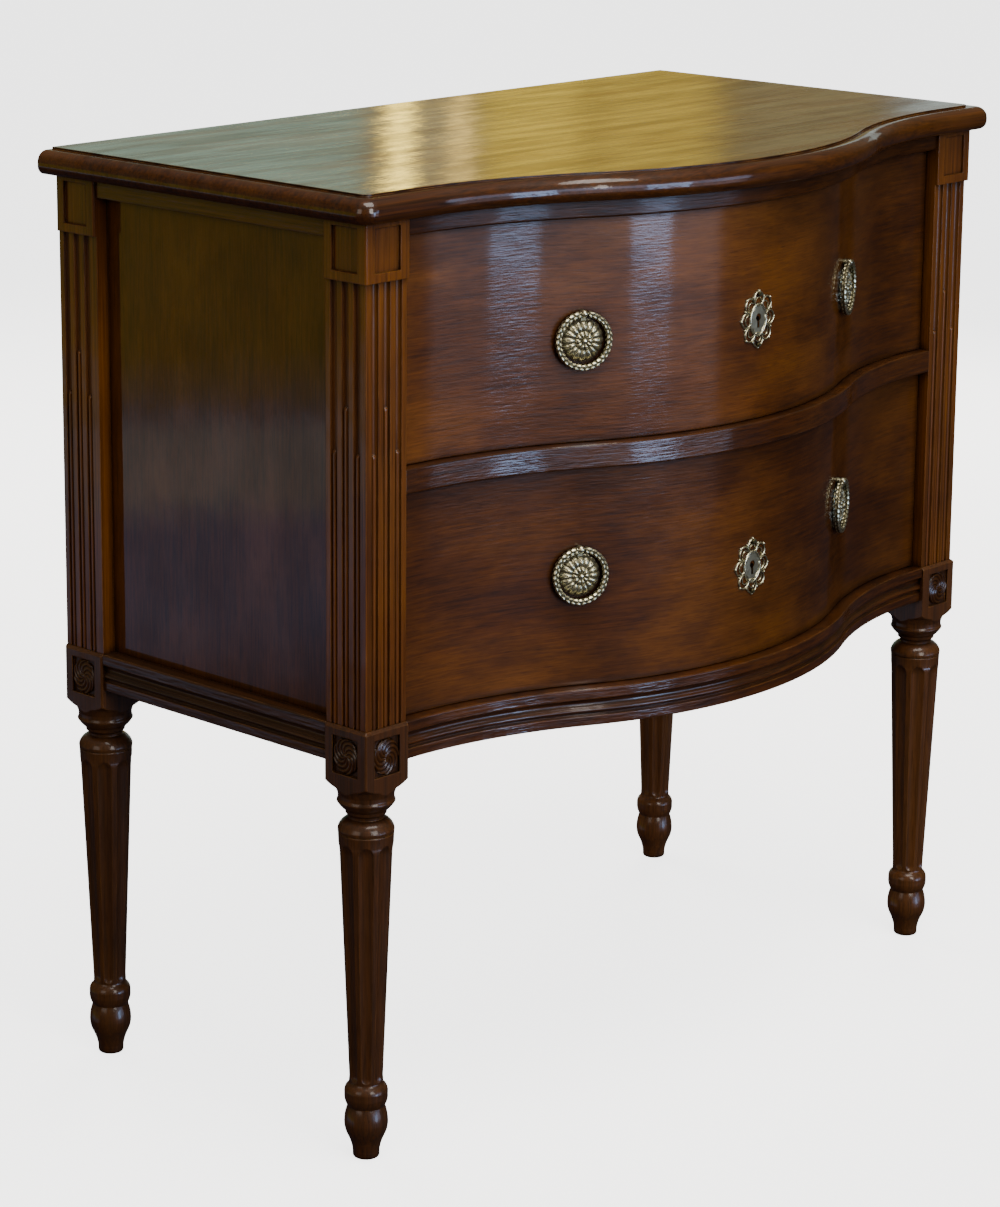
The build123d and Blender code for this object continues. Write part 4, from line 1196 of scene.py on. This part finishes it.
# Softboxes: name, place, point aimed at, size, power, colour, and whether the polish mirrors it
SOFT_LIGHTS = (
    ("ceiling", (-0.3, -0.9, 3.0), (0, 0, 0.4), (1.8, 1.6), 72.0, (1.0, 0.95, 0.88), True),
    ("left fill", (-3.4, -0.3, 1.3), (0, 0, 0.5), (1.6, 1.6), 16.0, (1.0, 0.92, 0.82), True),
    ("back light", (0.3, 3.2, 1.5), (0, 0, 0.5), (2.0, 1.4), 60.0, (1.0, 0.95, 0.88), False),
    ("right fill", (2.7, 1.6, 1.5), (0, 0, 0.5), (1.4, 1.4), 50.0, (1.0, 0.94, 0.86), False),
)


def soft_light(name, place, target, size, power, colour, glints):
    """One rectangular softbox aimed at a point, that the polish mirrors or not."""
    lamp = bpy.data.lights.new(name, "AREA")
    lamp.shape = "RECTANGLE"
    lamp.size, lamp.size_y = size
    lamp.energy = power
    lamp.color = colour
    holder = new_object(name, lamp)
    holder.location = place
    aim = Vector(target) - Vector(place)
    holder.rotation_euler = aim.to_track_quat("-Z", "Y").to_euler()
    holder.visible_glossy = glints


def hang_lights():
    """A tall window in front, a broad ceiling light, and fills from the left, back and right."""
    power = bpy.context.scene.chest_studio.key
    window = ("front window", (-0.9, -3.2, 1.7), (0, 0, 0.6), (1.2, 1.6), power, (1.0, 0.96, 0.90), True)
    for light in (window, *SOFT_LIGHTS):
        soft_light(*light)


# The photograph's viewpoint, in metres and degrees
CAMERA_PLACE = (-2.4087, -2.1586, 1.2774)
CAMERA_TURN = (76.852, -0.194, -45.656)
CAMERA_LENS = {
    "sensor_width": 36.0, "lens": 106.85, "shift_x": 0.065, "shift_y": -0.110, "clip_end": 60.0,
}


def set_camera():
    """Look from the photograph's viewpoint."""
    lens = bpy.data.cameras.new("photograph")
    for name, value in CAMERA_LENS.items():
        setattr(lens, name, value)
    camera = new_object("photograph", lens)
    camera.location = CAMERA_PLACE
    camera.rotation_euler = [math.radians(angle) for angle in CAMERA_TURN]
    bpy.context.scene.camera = camera


class CHEST_PT_tools(bpy.types.Panel):
    """Steps that dress the chest, in order"""

    bl_label = "Serpentine chest"
    bl_idname = "CHEST_PT_tools"
    bl_space_type = "VIEW_3D"
    bl_region_type = "UI"
    bl_category = "Chest"

    def draw(self, context):
        layout = self.layout
        for step in STEPS:
            layout.operator(step.bl_idname)
        for name in GROUPS:
            group = getattr(context.scene, name)
            box = layout.box()
            for field in group.__annotations__:
                box.prop(group, field)


STEPS = (
    CHEST_OT_polish_carcass,
    CHEST_OT_age_inner_wood,
    CHEST_OT_fit_locks,
    CHEST_OT_carve_whorls,
    CHEST_OT_cast_handles,
    CHEST_OT_pierce_escutcheons,
    CHEST_OT_set_studio,
)
CLASSES = (WoodSettings, BrassSettings, StudioSettings, *STEPS, CHEST_PT_tools)
GROUPS = {
    "chest_wood": WoodSettings,
    "chest_brass": BrassSettings,
    "chest_studio": StudioSettings,
}


def register():
    """Add the classes, and each group of settings to the scene."""
    for cls in CLASSES:
        bpy.utils.register_class(cls)
    for name, group in GROUPS.items():
        setattr(bpy.types.Scene, name, bpy.props.PointerProperty(type=group))


def unregister():
    """Take them away again."""
    for name in GROUPS:
        delattr(bpy.types.Scene, name)
    for cls in reversed(CLASSES):
        bpy.utils.unregister_class(cls)


def main():
    """Dress the chest step by step."""
    register()
    for step in STEPS:
        family, action = step.bl_idname.split(".")
        getattr(getattr(bpy.ops, family), action)()


if __name__ == "__main__":
    main()
